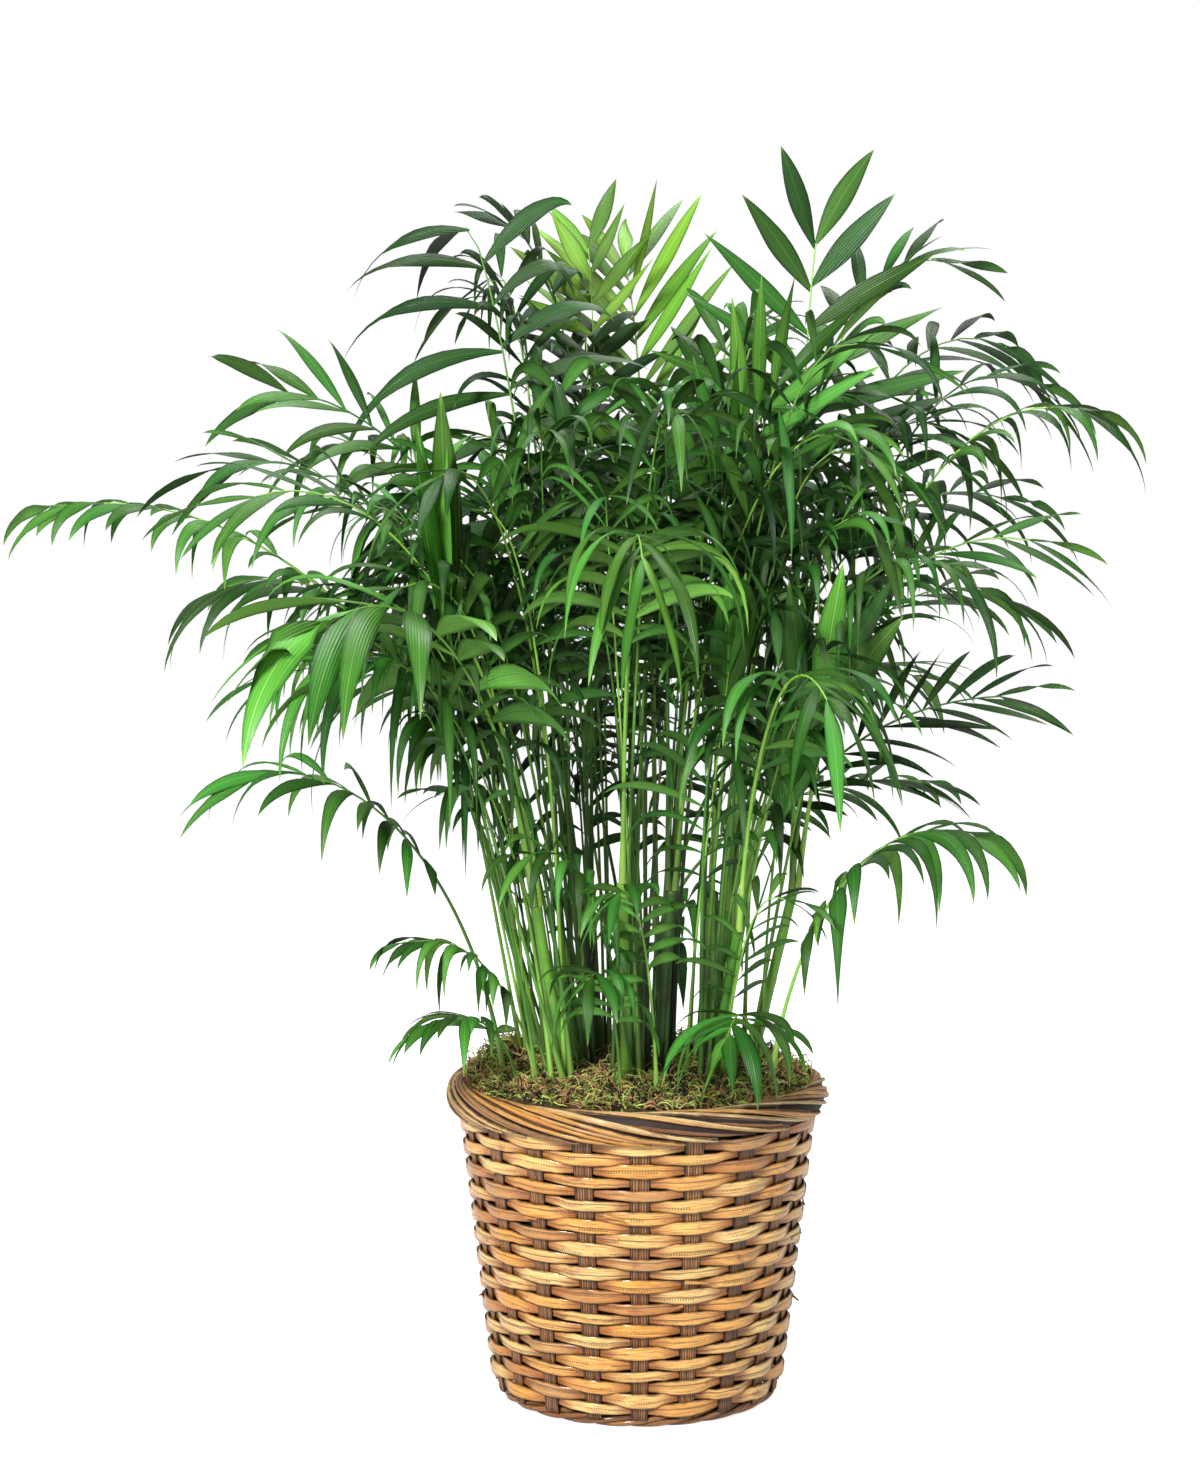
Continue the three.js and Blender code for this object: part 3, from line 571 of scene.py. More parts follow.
def setFeet(fronds, canes):
    for frond in fronds:
        if "foot" in frond:
            frond["base"] = np.array([*frond["foot"], cane["foot"]])
    for one in canes:
        def away(frond):
            return frond["tip"][:2] - one["top"][:2]

        def headingOf(frond):
            return math.atan2(away(frond)[1], away(frond)[0])
        byLean = sorted(one["fronds"], key=lambda frond: -math.hypot(*away(frond)))
        if not byLean:
            continue
        main = headingOf(byLean[0])
        others = sorted(byLean[1:], key=lambda frond: -math.sin(headingOf(frond) - main))
        for i, frond in enumerate([byLean[0], *others]):
            offset = towards(main + i * 2 * math.pi / cane["sockets"]) * cane["socketRadius"]
            frond["base"] = one["top"] + offset + upward * cane["socketLift"]


def ribCorners(frond, bow):
    run = (frond["tip"] - frond["base"]) * (1, 1, 0)
    crest = frond["tip"][2] - frond["base"][2] + frond["arch"]
    aside = unit(np.array([run[1], -run[0], 0])) * bow
    low = frond["base"] + run * frond["lean"] + upward * rib["low"][1] * crest + aside * 0.5
    high = frond["base"] + run * frond["crest"] + upward * crest + aside
    return np.array([frond["base"], low, high, frond["tip"]])


def curveAt(corners, t):
    t = np.asarray(t, dtype=float)[:, None]
    a, b, c, d = corners
    return (1 - t) ** 3 * a + 3 * (1 - t) ** 2 * t * b + 3 * (1 - t) * t * t * c + t ** 3 * d


def slopeAt(corners, t):
    t = np.asarray(t, dtype=float)[:, None]
    a, b, c, d = corners
    return unit((1 - t) ** 2 * (b - a) + 2 * (1 - t) * t * (c - b) + t * t * (d - c))


def gapBetween(line, others):  # least distance between the stretches of a line and other stretches
    a, b = line[:-1, None, :], line[1:, None, :]
    c, d = others[None, :, 0, :], others[None, :, 1, :]
    u, v, w = b - a, d - c, a - c
    uu, vv = (u * u).sum(-1), (v * v).sum(-1)
    uv, uw, vw = (u * v).sum(-1), (u * w).sum(-1), (v * w).sum(-1)
    area = uu * vv - uv * uv
    tiny = 1e-9
    s = np.where(area > tiny, np.clip((uv * vw - vv * uw) / np.maximum(area, tiny), 0, 1), 0)
    t = np.clip((uv * s + vw) / vv, 0, 1)
    s = np.clip((uv * t - uw) / uu, 0, 1)
    return np.linalg.norm(w + u * s[..., None] - v * t[..., None], axis=-1).min()


def layRibs(fronds, canes):  # each rib takes the first bow that is clear of the canes and earlier ribs
    laid = []
    for frond in fronds:
        stems = np.array([(one["foot"], one["top"]) for one in canes if one is not frond.get("cane")])
        best = None
        for bow in rib["bows"]:
            corners = ribCorners(frond, bow)
            line = curveAt(corners, np.linspace(0, 1, rib["steps"] + 1))
            room = gapBetween(line, stems) - rib["caneClear"]
            if laid:
                room = min(room, gapBetween(line, np.concatenate(laid)) - rib["clear"])
            if best is None or room > best[0]:
                best = (room, corners, line)
            if room >= 0:
                break
        frond["corners"] = best[1]
        laid.append(np.stack([best[2][:-1], best[2][1:]], axis=1))
    for frond in fronds:  # a rib that ends upright has its last bend lower
        frond["corners"][2] -= upward * frond["upright"]


def planYoung(canes, startIndex):
    random = makeRandom(53)
    fronds = []
    for name, row in youngFans.items():
        for k in range(row["count"]):
            index = startIndex + len(fronds)
            heading = math.radians(mix(*row["headings"], (k + random()) / row["count"]))
            rise = ((k * 5) % row["count"] + random()) / row["count"]
            reach = mix(*row["reach"], random())
            tip = np.array([reach * math.cos(heading), reach * math.sin(heading), mix(*row["heights"], rise)])

            def distance(one):
                return math.hypot(*(one["foot"][:2] - tip[:2] * mix(*young["caneNear"], random())))
            near = min(canes, key=distance)
            turn = 2 * math.pi * random()
            base = near["foot"] + towards(turn) * mix(*young["footNear"], random())
            base[2] = young["footHigh"]
            small = name == "low"
            fronds.append(dict(
                name=f"young_{name}_{k + 1}", index=index, tip=tip, base=base,
                arch=young["arch"] * mix(*young["archBy"], random()), roll=mix(*young["roll"], random()),
                side=None, wide=leaflet["wide"] * mix(*young["wide"], random()),
                blade=young["lowBlade"] if small else rib["blade"] * mix(*young["blade"], random()),
                pairs=leaflet["smallPairs"] if small else young["pairs"], spread=leaflet["spread"],
                lean=row["lean"], crest=rib["high"], lift=young["lift"], level=young["level"],
                bow=young["bow"] * math.sin(index * young["bowTurn"]),
                leaf=mix(*row["leaf"], random()), droop=mix(*young["droop"], random()),
                kind=row["kinds"][int(random() * len(row["kinds"]))]))
    for name, row in lances.items():
        frond = dict(lance, **row)
        tip = np.array(row["tip"], dtype=float)
        base = np.array([*(tip[:2] * frond["foot"]), young["footHigh"]])
        frond.update(name="lance_" + name, index=startIndex + len(fronds), tip=tip, base=base)
        fronds.append(frond)
    return fronds


canes = planCanes()
fronds = planFronds()
shareOutCanes(fronds, canes)
setFeet(fronds, canes)
layRibs(fronds, canes)
youngFronds = planYoung(canes, len(fronds))
for frond in youngFronds:
    frond["corners"] = ribCorners(frond, frond["bow"])
allFronds = fronds + youngFronds
print("plant planned:", len(canes), "canes,", len(allFronds), "fronds")


def measureRib(frond):
    t = np.linspace(0, 1, 201)
    steps = np.linalg.norm(np.diff(curveAt(frond["corners"], t), axis=0), axis=1)
    frond["times"], frond["lengths"] = t, np.concatenate([[0], np.cumsum(steps)])


def ribFrames(frond, shares):  # place, direction, right side and upper face at shares of the rib's length
    shares = np.atleast_1d(np.asarray(shares, dtype=float))
    t = np.interp(shares * frond["lengths"][-1], frond["lengths"], frond["times"])
    at = curveAt(frond["corners"], t)
    along = slopeAt(frond["corners"], t)
    lean = unit((frond["tip"] - frond["base"]) * (1, 1, 0))
    across = np.array([lean[1], -lean[0], 0])
    if frond["side"] is not None:
        across = towards(math.radians(frond["side"]))
    right = unit(across - along * (along @ across)[:, None])
    roll = np.radians(frond["roll"] * shares)[:, None]
    right = right * np.cos(roll) + np.cross(along, right) * np.sin(roll)
    return at, along, right, np.cross(right, along)


# leaflets
blade = {"across": 4, "along": 11, "base": 0.14, "widest": 0.44, "taper": 1.6, "fold": 0.26, "unfold": 0.6,
         "pleat": 0.05}
sway = {"swing": (-11, 11), "lift": (-0.17, 0.17), "stretch": (0.86, 1.1), "sag": (0.65, 1.45),
        "twist": (-1, 1), "breadth": (0.85, 1.1), "narrow": 0.55, "closing": 1.6, "full": (0.72, 0.42),
        "fullPart": (0.12, 0.9), "curl": 1.2, "levelBy": 1.6, "levelMost": 0.75, "drawIn": 0.35, "fall": 0.75}
# painted shade: leaflets are darkened deep in the crown, where the fronds shade them
crown = {"middle": (0, 0, 560), "reach": (300, 270, 310), "inside": (0.2, 0.7), "darkest": 0.34}
leafKinds = {
    "dark": dict(top="#21421a", under="#3a602b", vein="#456d36"),
    "deep": dict(top="#305d24", under="#4a7a36", vein="#598744"),
    "mid": dict(top="#3e752e", under="#578d3e", vein="#6c9f50"),
    "fresh": dict(top="#498430", under="#619843", vein="#7bac58"),
    "bright": dict(top="#609030", under="#77a344", vein="#92ba5c"),
}
leafLook = {"veins": 10.0, "veinShare": 0.24, "ribShare": 0.7, "clouds": (14.0, 1.6), "cloudShare": 0.35,
            "shade": (1.08, 0.38), "brightest": 1.25, "margin": 0.6, "marginDark": 0.58, "saturation": 1.05,
            "huePick": 7.13, "ownHue": (0.03, 0.483), "tip": (0.93, 1.02, 0.6), "tipColour": "#8f9a4a",
            "roughness": (0.12, 0.34), "shine": 0.22, "flatter": 1.5, "bump": (0.45, 0.0006)}


def bladeWidth(s):
    if s < blade["widest"]:
        return mix(blade["base"], 1, math.sin(s / blade["widest"] * math.pi / 2))
    return 1 - ((s - blade["widest"]) / (1 - blade["widest"])) ** blade["taper"]


def modelBlade():  # one leaflet: a grid drawn in to a lance shape, roofed along its middle and finely pleated
    piece = startPiece("bladePattern", bpy.ops.mesh.primitive_grid_add, x_subdivisions=blade["across"],
                       y_subdivisions=blade["along"], size=2)
    for vertex in piece.data.vertices:
        u, s = vertex.co.x, (vertex.co.y + 1) / 2
        width = bladeWidth(s)
        column = round((u + 1) / 2 * blade["across"])
        pleat = blade["pleat"] * (1 if column % 2 else -1) * (1 - s) ** 0.5
        vertex.co = (u * width, s, (-blade["fold"] * abs(u) * (1 - blade["unfold"] * s) + pleat) * width)
    editMesh()
    bpy.ops.mesh.remove_doubles(threshold=0.00001)
    leaveMesh()
    pattern = patternOf(piece)
    x, s = pattern["points"][:, 0], pattern["points"][:, 1]
    pattern["uv"] = np.column_stack([x / 2 + 0.5, s])
    pattern["side"] = np.abs(x) / np.maximum([bladeWidth(one) for one in s], 0.001)
    return pattern


def hangLeaf(at, start, reach, droop, s):  # the middle line of a leaflet that sets off along start and sags
    return (at + np.outer(reach * (s - sway["drawIn"] * droop * s ** 3), start)
            - np.outer(sway["fall"] * droop * s ** 2 * reach, upward))


def leafletsOf(frond, pattern):
    random = makeRandom(101 + frond["index"])
    measureRib(frond)
    length = frond["lengths"][-1]
    bare = 1 - min(frond["blade"], rib["bladeMost"] * length) / length
    root = rib["root"] / length
    shapes, tones = [], []
    u, s, h = pattern["points"].T
    for i in range(frond["pairs"]):
        for hand in (1, -1):
            swing, lift, stretch, sag, twist = (mix(*sway[key], random())
                                                for key in ("swing", "lift", "stretch", "sag", "twist"))
            shade = random()
            order = i / (frond["pairs"] - 1)
            share = mix(bare, 1 - root, order) + (root if hand > 0 else 0)
            at, along, right, face = (x[0] for x in ribFrames(frond, share))
            spread = math.radians(mix(*frond["spread"], order ** sway["closing"]) + swing)
            fullness = sway["full"][0] + sway["full"][1] * math.sin(math.pi * mix(*sway["fullPart"], order))
            reach = frond["leaf"] * fullness * stretch * leaflet["long"]
            aside = right * hand * math.sin(spread)
            start = unit(along * math.cos(spread) + aside + face * (frond["lift"] + lift))
            droop = frond["droop"] * sag
            middle = hangLeaf(at, start, reach, droop, s)
            ahead, behind = (hangLeaf(at, start, reach, droop, s + step) for step in (0.02, -0.02))
            flow = unit(ahead - behind)
            broad = unit(along - flow * (flow @ along)[:, None])
            level = np.cross(upward, flow)
            level = level / np.maximum(np.linalg.norm(level, axis=1, keepdims=True), 1e-6)
            level *= np.sign((level * broad).sum(1, keepdims=True) + 1e-9)
            settled = np.clip(s * sway["levelBy"], 0, 1) ** 2
            ease = mix(frond["level"], 1, settled)[:, None] * min(sway["levelMost"], droop)
            broad = unit(mix(broad, level, ease))
            above = unit(np.cross(broad, flow) * -hand)
            turn = (twist * s ** sway["curl"])[:, None]
            broad, above = (broad * np.cos(turn) + above * np.sin(turn),
                            above * np.cos(turn) - broad * np.sin(turn))
            narrow = min(1, sway["narrow"] + reach / frond["leaf"] / 2)
            half = frond["wide"] / 2 * narrow * mix(*sway["breadth"], random())
            random()  # keeps the draws in step
            shapes.append((middle - broad * (u * hand)[:, None] * half + above * h[:, None] * half) * mm)
            # how far out in the crown a leaflet lies, which sets its painted shade
            outness = np.linalg.norm((middle - crown["middle"]) / crown["reach"], axis=1)
            tones.append(np.column_stack([np.full(len(s), shade), between(outness, *crown["inside"]),
                                          pattern["side"]]))
    return shapes, tones


def makeLeafMaterial(kind, colours):
    look = leafLook
    material, tree, shader = startMaterial("leaf" + kind.capitalize())
    across, along = surfacePlace(tree)
    veins = placeGroup(tree, leafVeins, Across=across, Lines=look["veins"])
    cloud = clouds(tree, *look["clouds"])
    shade, outness, side = toneOf(tree)
    top = layColours(tree, colours["top"], (veins["Vein"], look["veinShare"], colours["vein"]),
                     (veins["Rib"], look["ribShare"], colours["vein"]))
    back = tree.nodes.new("ShaderNodeNewGeometry").outputs["Backfacing"]
    both = mixColours(tree, back, top, colours["under"])
    bright = timesPlus(tree, shade, *look["shade"])
    bright = timesPlus(tree, minus(tree, cloud["Cloud"], 0.5), look["cloudShare"], bright)
    bright = mathNode(tree, "MINIMUM", bright, look["brightest"])
    margin = ramp(tree, side, look["margin"], most=look["marginDark"], smooth=True)
    bright = times(tree, bright, minus(tree, 1.0, margin))
    # painted shade: leaflets deep in the crown are darkened
    depth = timesPlus(tree, outness, 1 - crown["darkest"], crown["darkest"])
    # each leaflet leans to its own green
    ownHue = mathNode(tree, "FRACT", times(tree, shade, look["huePick"]))
    shaded = addNode(tree, "ShaderNodeHueSaturation", Saturation=look["saturation"], Color=both,
                     Hue=timesPlus(tree, ownHue, *look["ownHue"]), Value=times(tree, bright, depth))
    base = mixColours(tree, ramp(tree, along, *look["tip"]), shaded.outputs[0], look["tipColour"])
    setShader(tree, shader, Base_Color=base, Roughness=timesPlus(tree, cloud["Fine"], *look["roughness"]),
              Specular_IOR_Level=look["shine"])
    flatter = minus(tree, 1.0, mathNode(tree, "POWER", along, look["flatter"]))
    bumpInto(tree, shader, times(tree, veins["Height"], flatter), *look["bump"])
    return material


def makeLeaves():
    pattern = modelBlade()
    grown = {kind: ([], []) for kind in leafKinds}
    for frond in allFronds:
        shapes, tones = leafletsOf(frond, pattern)
        grown[frond["kind"]][0].extend(shapes)
        grown[frond["kind"]][1].extend(tones)
    for kind, (shapes, tones) in grown.items():
        piece = joinCopies("leaves" + kind.capitalize(), pattern, shapes,
                           makeLeafMaterial(kind, leafKinds[kind]), tones=tones, uv=pattern["uv"])
        nodes = [frond["name"] for frond in fronds if frond["kind"] == kind]
        finishPiece(piece, nodes)


makeLeaves()
print("leaflets grown")


# ribs and petioles; stems in the clump's middle are darkened below shadeHigh, painted shade where the clump
# shades them
stalk = {"sides": 6, "rings": 28, "taper": 0.8, "sheath": 1.55, "sheathPart": 0.18, "innerShade": (96, 38),
         "shadeHigh": (660, 420), "small": 0.75, "smallBlade": 130, "grooved": 0.72,
         "dark": "#25641c", "light": "#98d04c", "sheathColour": "#a9c05a", "clouds": (26.0, 1.8),
         "cloudShare": 0.5, "cloudColour": "#235a18", "innerShadeShare": 0.92, "innerShadeColour": "#0c1d07",
         "roughness": (0.2, 0.34), "bump": (0.2, 0.0004)}


def modelTube(sides, rings):  # a unit tube from 0 to 1, repeated ring by ring and closed at both ends
    piece = startPiece("tubePattern", bpy.ops.mesh.primitive_cylinder_add, vertices=sides, radius=1,
                       depth=1 / rings, end_fill_type="NOTHING")
    repeat = piece.modifiers.new("rings", "ARRAY")
    repeat.count = rings
    repeat.use_relative_offset = False
    repeat.use_constant_offset = True
    repeat.constant_offset_displace = (0, 0, 1 / rings)
    repeat.use_merge_vertices = True
    bpy.ops.object.modifier_apply(modifier="rings")
    editMesh("DESELECT")
    bpy.ops.mesh.select_non_manifold()
    bpy.ops.mesh.edge_face_add()
    leaveMesh()
    pattern = patternOf(piece)
    pattern["points"][:, 2] = np.clip(pattern["points"][:, 2] + 0.5 / rings, 0, 1)
    return pattern


def ringedTube(sides, rings):  # the tube's wall alone, with its length and angle for each vertex
    pattern = modelTube(sides, rings)
    pattern["faces"] = [face for face in pattern["faces"] if len(face) == 4]
    x, y, z = pattern["points"].T
    pattern["uv"] = np.column_stack([z, (np.arctan2(y, x) / (2 * math.pi)) % 1])
    return pattern


def makeStalkMaterial():
    material, tree, shader = startMaterial("stalkSkin")
    shade, sheath, innerShade = toneOf(tree)
    cloud = clouds(tree, *stalk["clouds"])
    green = mixColours(tree, shade, stalk["dark"], stalk["light"])
    green = mixColours(tree, sheath, green, stalk["sheathColour"])
    # the last layer is painted shade on stems in the clump's middle
    green = layColours(tree, green, (cloud["Cloud"], stalk["cloudShare"], stalk["cloudColour"]),
                       (innerShade, stalk["innerShadeShare"], stalk["innerShadeColour"]))
    setShader(tree, shader, Base_Color=green, Roughness=timesPlus(tree, cloud["Fine"], *stalk["roughness"]))
    bumpInto(tree, shader, cloud["Fine"], *stalk["bump"])
    return material


def makeStalks():
    pattern = ringedTube(stalk["sides"], stalk["rings"])
    x, y, z = pattern["points"].T
    shapes, tones = [], []
    random = makeRandom(31)
    swell = np.clip(1 - z / stalk["sheathPart"], 0, 1) ** 1.5
    flat = np.where(y > 0, stalk["grooved"], 1.0)
    for frond in allFronds:
        at, _, right, face = ribFrames(frond, z)
        small = stalk["small"] if frond["blade"] < stalk["smallBlade"] else 1.0
        radius = mix(rib["foot"], rib["tip"], z ** stalk["taper"]) * small
        radius = radius * (1 + (stalk["sheath"] - 1) * swell)
        shapes.append((at + (right * x[:, None] + face * (y * flat)[:, None]) * radius[:, None]) * mm)
        # painted shade, strongest on low stems near the clump's axis
        innerShade = between(np.hypot(at[:, 0], at[:, 1]), *stalk["innerShade"])
        innerShade = innerShade * between(at[:, 2], *stalk["shadeHigh"])
        tones.append(np.column_stack([np.full(len(z), random()), swell * 0.5, innerShade]))
    piece = joinCopies("stalks", pattern, shapes, makeStalkMaterial(), tones=tones)
    finishPiece(piece, [frond["name"] for frond in fronds])


# canes
caneShape = {"sides": 14, "joints": 4, "sink": 6, "ring": (0.1, 0.03, 0.06),
             "stages": ((0.05, 0.95), (0.42, 0.98), (0.38, 1.02), (0.05, 1.05), (0.05, 1.01), (0.05, 0.99)),
             "dark": "#357a1f", "light": "#8cc440", "clouds": (40.0, 2.0), "cloudShare": 0.45,
             "cloudColour": "#1f4a17", "ringShare": 0.6, "ringColour": "#7f9146", "innerShadeShare": 0.85,
             "roughness": 0.45, "bump": (0.3, 0.0006)}


def modelCane():  # a ringed stem, extruded joint by joint
    piece = startPiece("canePattern", bpy.ops.mesh.primitive_circle_add, vertices=caneShape["sides"],
                       radius=1, fill_type="NGON")
    editMesh()
    for rise, widen in caneShape["stages"] * caneShape["joints"]:
        bpy.ops.mesh.extrude_region_move(TRANSFORM_OT_translate={"value": (0, 0, rise / caneShape["joints"])})
        bpy.ops.transform.resize(value=(widen, widen, 1))
    leaveMesh()
    return patternOf(piece)


def makeCaneSkin():
    material, tree, shader = startMaterial("caneSkin")
    shade, ring, innerShade = toneOf(tree)
    look = caneShape
    cloud = clouds(tree, *look["clouds"])
    green = mixColours(tree, shade, look["dark"], look["light"])
    # the last layer is painted shade on canes in the clump's middle
    green = layColours(tree, green, (cloud["Cloud"], look["cloudShare"], look["cloudColour"]),
                       (ring, look["ringShare"], look["ringColour"]),
                       (innerShade, look["innerShadeShare"], stalk["innerShadeColour"]))
    setShader(tree, shader, Base_Color=green, Roughness=look["roughness"])
    bumpInto(tree, shader, cloud["Fine"], *look["bump"])
    return material


def makeCanes():
    pattern = modelCane()
    x, y, z = pattern["points"].T
    stages = np.array(cane["stages"])
    radius = np.interp(z, stages[:, 0], stages[:, 1])[:, None]
    shift, middleAt, halfRing = caneShape["ring"]
    ring = np.clip(1 - np.abs((z * caneShape["joints"] + shift) % 1 - middleAt) / halfRing, 0, 1)
    shapes, tones = [], []
    random = makeRandom(77)
    for one in canes:
        middle = mix(one["foot"] - upward * caneShape["sink"], one["top"], z[:, None])
        shapes.append((middle + np.column_stack([x, y, 0 * z]) * radius) * mm)
        # painted shade on canes near the clump's axis
        innerShade = between(np.hypot(middle[:, 0], middle[:, 1]), *stalk["innerShade"])
        tones.append(np.column_stack([np.full(len(z), random()), ring, innerShade]))
    piece = joinCopies("canes", pattern, shapes, makeCaneSkin(), tones=tones)
    finishPiece(piece, [one["name"] for one in canes])


makeStalks()
makeCanes()
print("canes and stalks grown")


# basket: courses of split cane that pass in front of and behind the slats
wall = {"footRadius": 104, "topRadius": 128.5, "inset": 2, "top": 206, "bottom": 10.3, "slats": 20,
        "courses": 24, "relief": 2.3}
weaver = {"sides": 12, "steps": 12, "thin": 2.7, "thick": 4.8, "deep": 1.2, "deepBy": (0.8, 1.1),
          "flat": 0.45, "square": 0.62, "wave": 0.7, "lift": 0.55, "slant": 1.6, "recessShadeFrom": 0.4,
          "mapLength": 75, "tall": (0.8, 1.2), "pinch": (0.34, 0.8)}  # full strands narrow most at the ends
caneLook = {"fibres": 22.0, "streak": (0.44, 0.6), "streakShare": 0.75, "stainShare": 0.75,
            "shadeAndBrowningShare": 0.8, "agedFrom": 0.88, "agedShare": 0.55, "edgeShare": 0.9, "dotShare": 0.7,
            "splitShare": 0.6, "dotDeep": 0.6, "grooveSharp": 3.0, "grooveShadeShare": 0.8, "rougher": 0.3,
            "bump": (0.9, 0.0009), "coatRoughness": 0.12}


def wallMiddle(height):
    return mix(wall["footRadius"], wall["topRadius"], height / wall["top"]) - wall["inset"]


def modelHoop(sides, steps):  # a round section spun about the upright axis
    hoopRadius = 10
    piece = startPiece("hoopPattern", bpy.ops.mesh.primitive_circle_add, vertices=sides, radius=1,
                       location=(hoopRadius, 0, 0), rotation=(math.pi / 2, 0, 0))
    bpy.ops.object.transform_apply(location=True, rotation=True, scale=True)
    editMesh()
    bpy.ops.mesh.spin(steps=steps, angle=2 * math.pi, center=(0, 0, 0), axis=(0, 0, 1))
    bpy.ops.mesh.select_all(action="SELECT")
    bpy.ops.mesh.remove_doubles(threshold=0.0001)
    bpy.ops.mesh.normals_make_consistent(inside=False)
    leaveMesh()
    pattern = patternOf(piece)
    x, y, z = pattern["points"].T
    pattern.update(turn=np.degrees(np.arctan2(y, x)) % 360, out=np.hypot(x, y) - hoopRadius, rise=z)
    return pattern


def makeCaneMaterial(name, pale, golden, brown, dark, stain="#8c4c26", rough=0.36, coat=0.5, reeds=0):
    look = caneLook
    material, tree, shader = startMaterial(name)
    along, across = surfacePlace(tree)
    shade, shadeAndBrowning, own = toneOf(tree)
    fibre = placeGroup(tree, caneFibre, Along=along, Across=across, Offset=own, Fibres=look["fibres"])
    streak = ramp(tree, fibre["Fibre"], *look["streak"])
    aged = mathNode(tree, "GREATER_THAN", own, look["agedFrom"])
    # the second tone browns the cane: painted shade in the weave's recesses and in the border's gaps and
    # inner side, and real browning on stray ends, the foot and some strands
    base = layColours(tree, mixColours(tree, shade, golden, pale), (streak, look["streakShare"], brown),
                      (fibre["Stain"], look["stainShare"], stain), (shadeAndBrowning, look["shadeAndBrowningShare"], brown),
                      # the edge layer is partly real brown edge, partly painted shade where strands meet
                      (aged, look["agedShare"], brown), (fibre["Edge"], look["edgeShare"], dark),
                      (fibre["Dots"], look["dotShare"], dark), (fibre["Split"], look["splitShare"], dark))
    height = minus(tree, fibre["Fibre"], times(tree, fibre["Dots"], look["dotDeep"]))
    height = minus(tree, height, fibre["Split"])
    if reeds:
        wave = mathNode(tree, "COSINE", times(tree, across, 2 * math.pi * reeds))
        groove = mathNode(tree, "POWER", timesPlus(tree, wave, 0.5, 0.5), look["grooveSharp"])
        # painted shade: the grooves between the reeds are darkened
        base = layColours(tree, base, (groove, look["grooveShadeShare"], dark))
        height = minus(tree, height, groove)
    setShader(tree, shader, Base_Color=base, Coat_Weight=coat, Coat_Roughness=look["coatRoughness"],
              Roughness=timesPlus(tree, fibre["Fibre"], look["rougher"], rough - 0.1))
    bumpInto(tree, shader, height, *look["bump"])
    return material


def makeWeavers():
    pattern = modelHoop(weaver["sides"], wall["slats"] * weaver["steps"])
    turn, out, rise = pattern["turn"], pattern["out"], pattern["rise"]
    angle = np.radians(turn)
    fronts = wall["slats"] // 2  # places where a course shows in front
    pitch = (wall["top"] - wall["bottom"]) / wall["courses"]
    domed = np.where(out > 0, np.clip(out, 0, 1) ** weaver["flat"], out * 0.5)
    across = np.where(out > -0.2, rise / 2 + 0.5, 0.0)
    random = np.random.default_rng(12)
    shapes, tones, maps = [], [], []
    for row in range(wall["courses"]):
        high = wall["bottom"] + (row + 0.5) * pitch
        phase = turn / (360 / wall["slats"]) + row
        over = np.cos(phase * math.pi)
        wander = weaver["wave"] * (np.sin(angle * 2 + 1.1) + 0.5 * np.sin(angle * 5 + row * 0.35))
        segment = np.floor((phase + 1) / 2).astype(int) % fronts
        tall = random.uniform(*weaver["tall"], fronts)[segment]
        place = (phase + 1) / 2 % 1 - 0.5
        lift = random.normal(0, weaver["lift"], fronts)[segment]
        lift = (lift + random.normal(0, weaver["slant"], fronts)[segment] * place) * np.clip(over * 2, 0, 1)
        pinch = mix(*weaver["pinch"], (tall - weaver["tall"][0]) / (weaver["tall"][1] - weaver["tall"][0]))
        half = mix(weaver["thin"], weaver["thick"], ((over + 1) / 2) ** pinch) * tall
        deep = weaver["deep"] * mix(*weaver["deepBy"], (over + 1) / 2)
        z = high + wander + lift + np.sign(rise) * np.abs(rise) ** weaver["square"] * half
        r = wallMiddle(z) + wall["relief"] * over + domed * deep
        shapes.append(roundAxis(r, angle, z) * mm)
        shade = random.uniform(0, 1, fronts)[segment]
        # painted shade: browner where the course dives behind a slat
        shadeAndBrowning = np.clip(weaver["recessShadeFrom"] - over, 0, 1)
        tones.append(np.column_stack([shade, shadeAndBrowning, random.uniform(0, 1, fronts)[segment]]))
        maps.append(np.column_stack([turn / 360 * weaver["mapLength"], across]))
    material = makeCaneMaterial("weaverCane", "#ffdc8c", "#f3ac46", "#a45a22", "#220d05", coat=0.6)
    piece = joinCopies("basketWeavers", pattern, shapes, material, tones=tones, uv=np.array(maps))
    finishPiece(piece, ["basket_wall"])


slat = {"wide": 13.8, "widen": (0.86, 1.04), "thick": 1.5, "reeds": 7, "reedDeep": 0.6, "rows": 40,
        "lean": 1.2, "below": 4, "above": 6, "mapLength": 20}


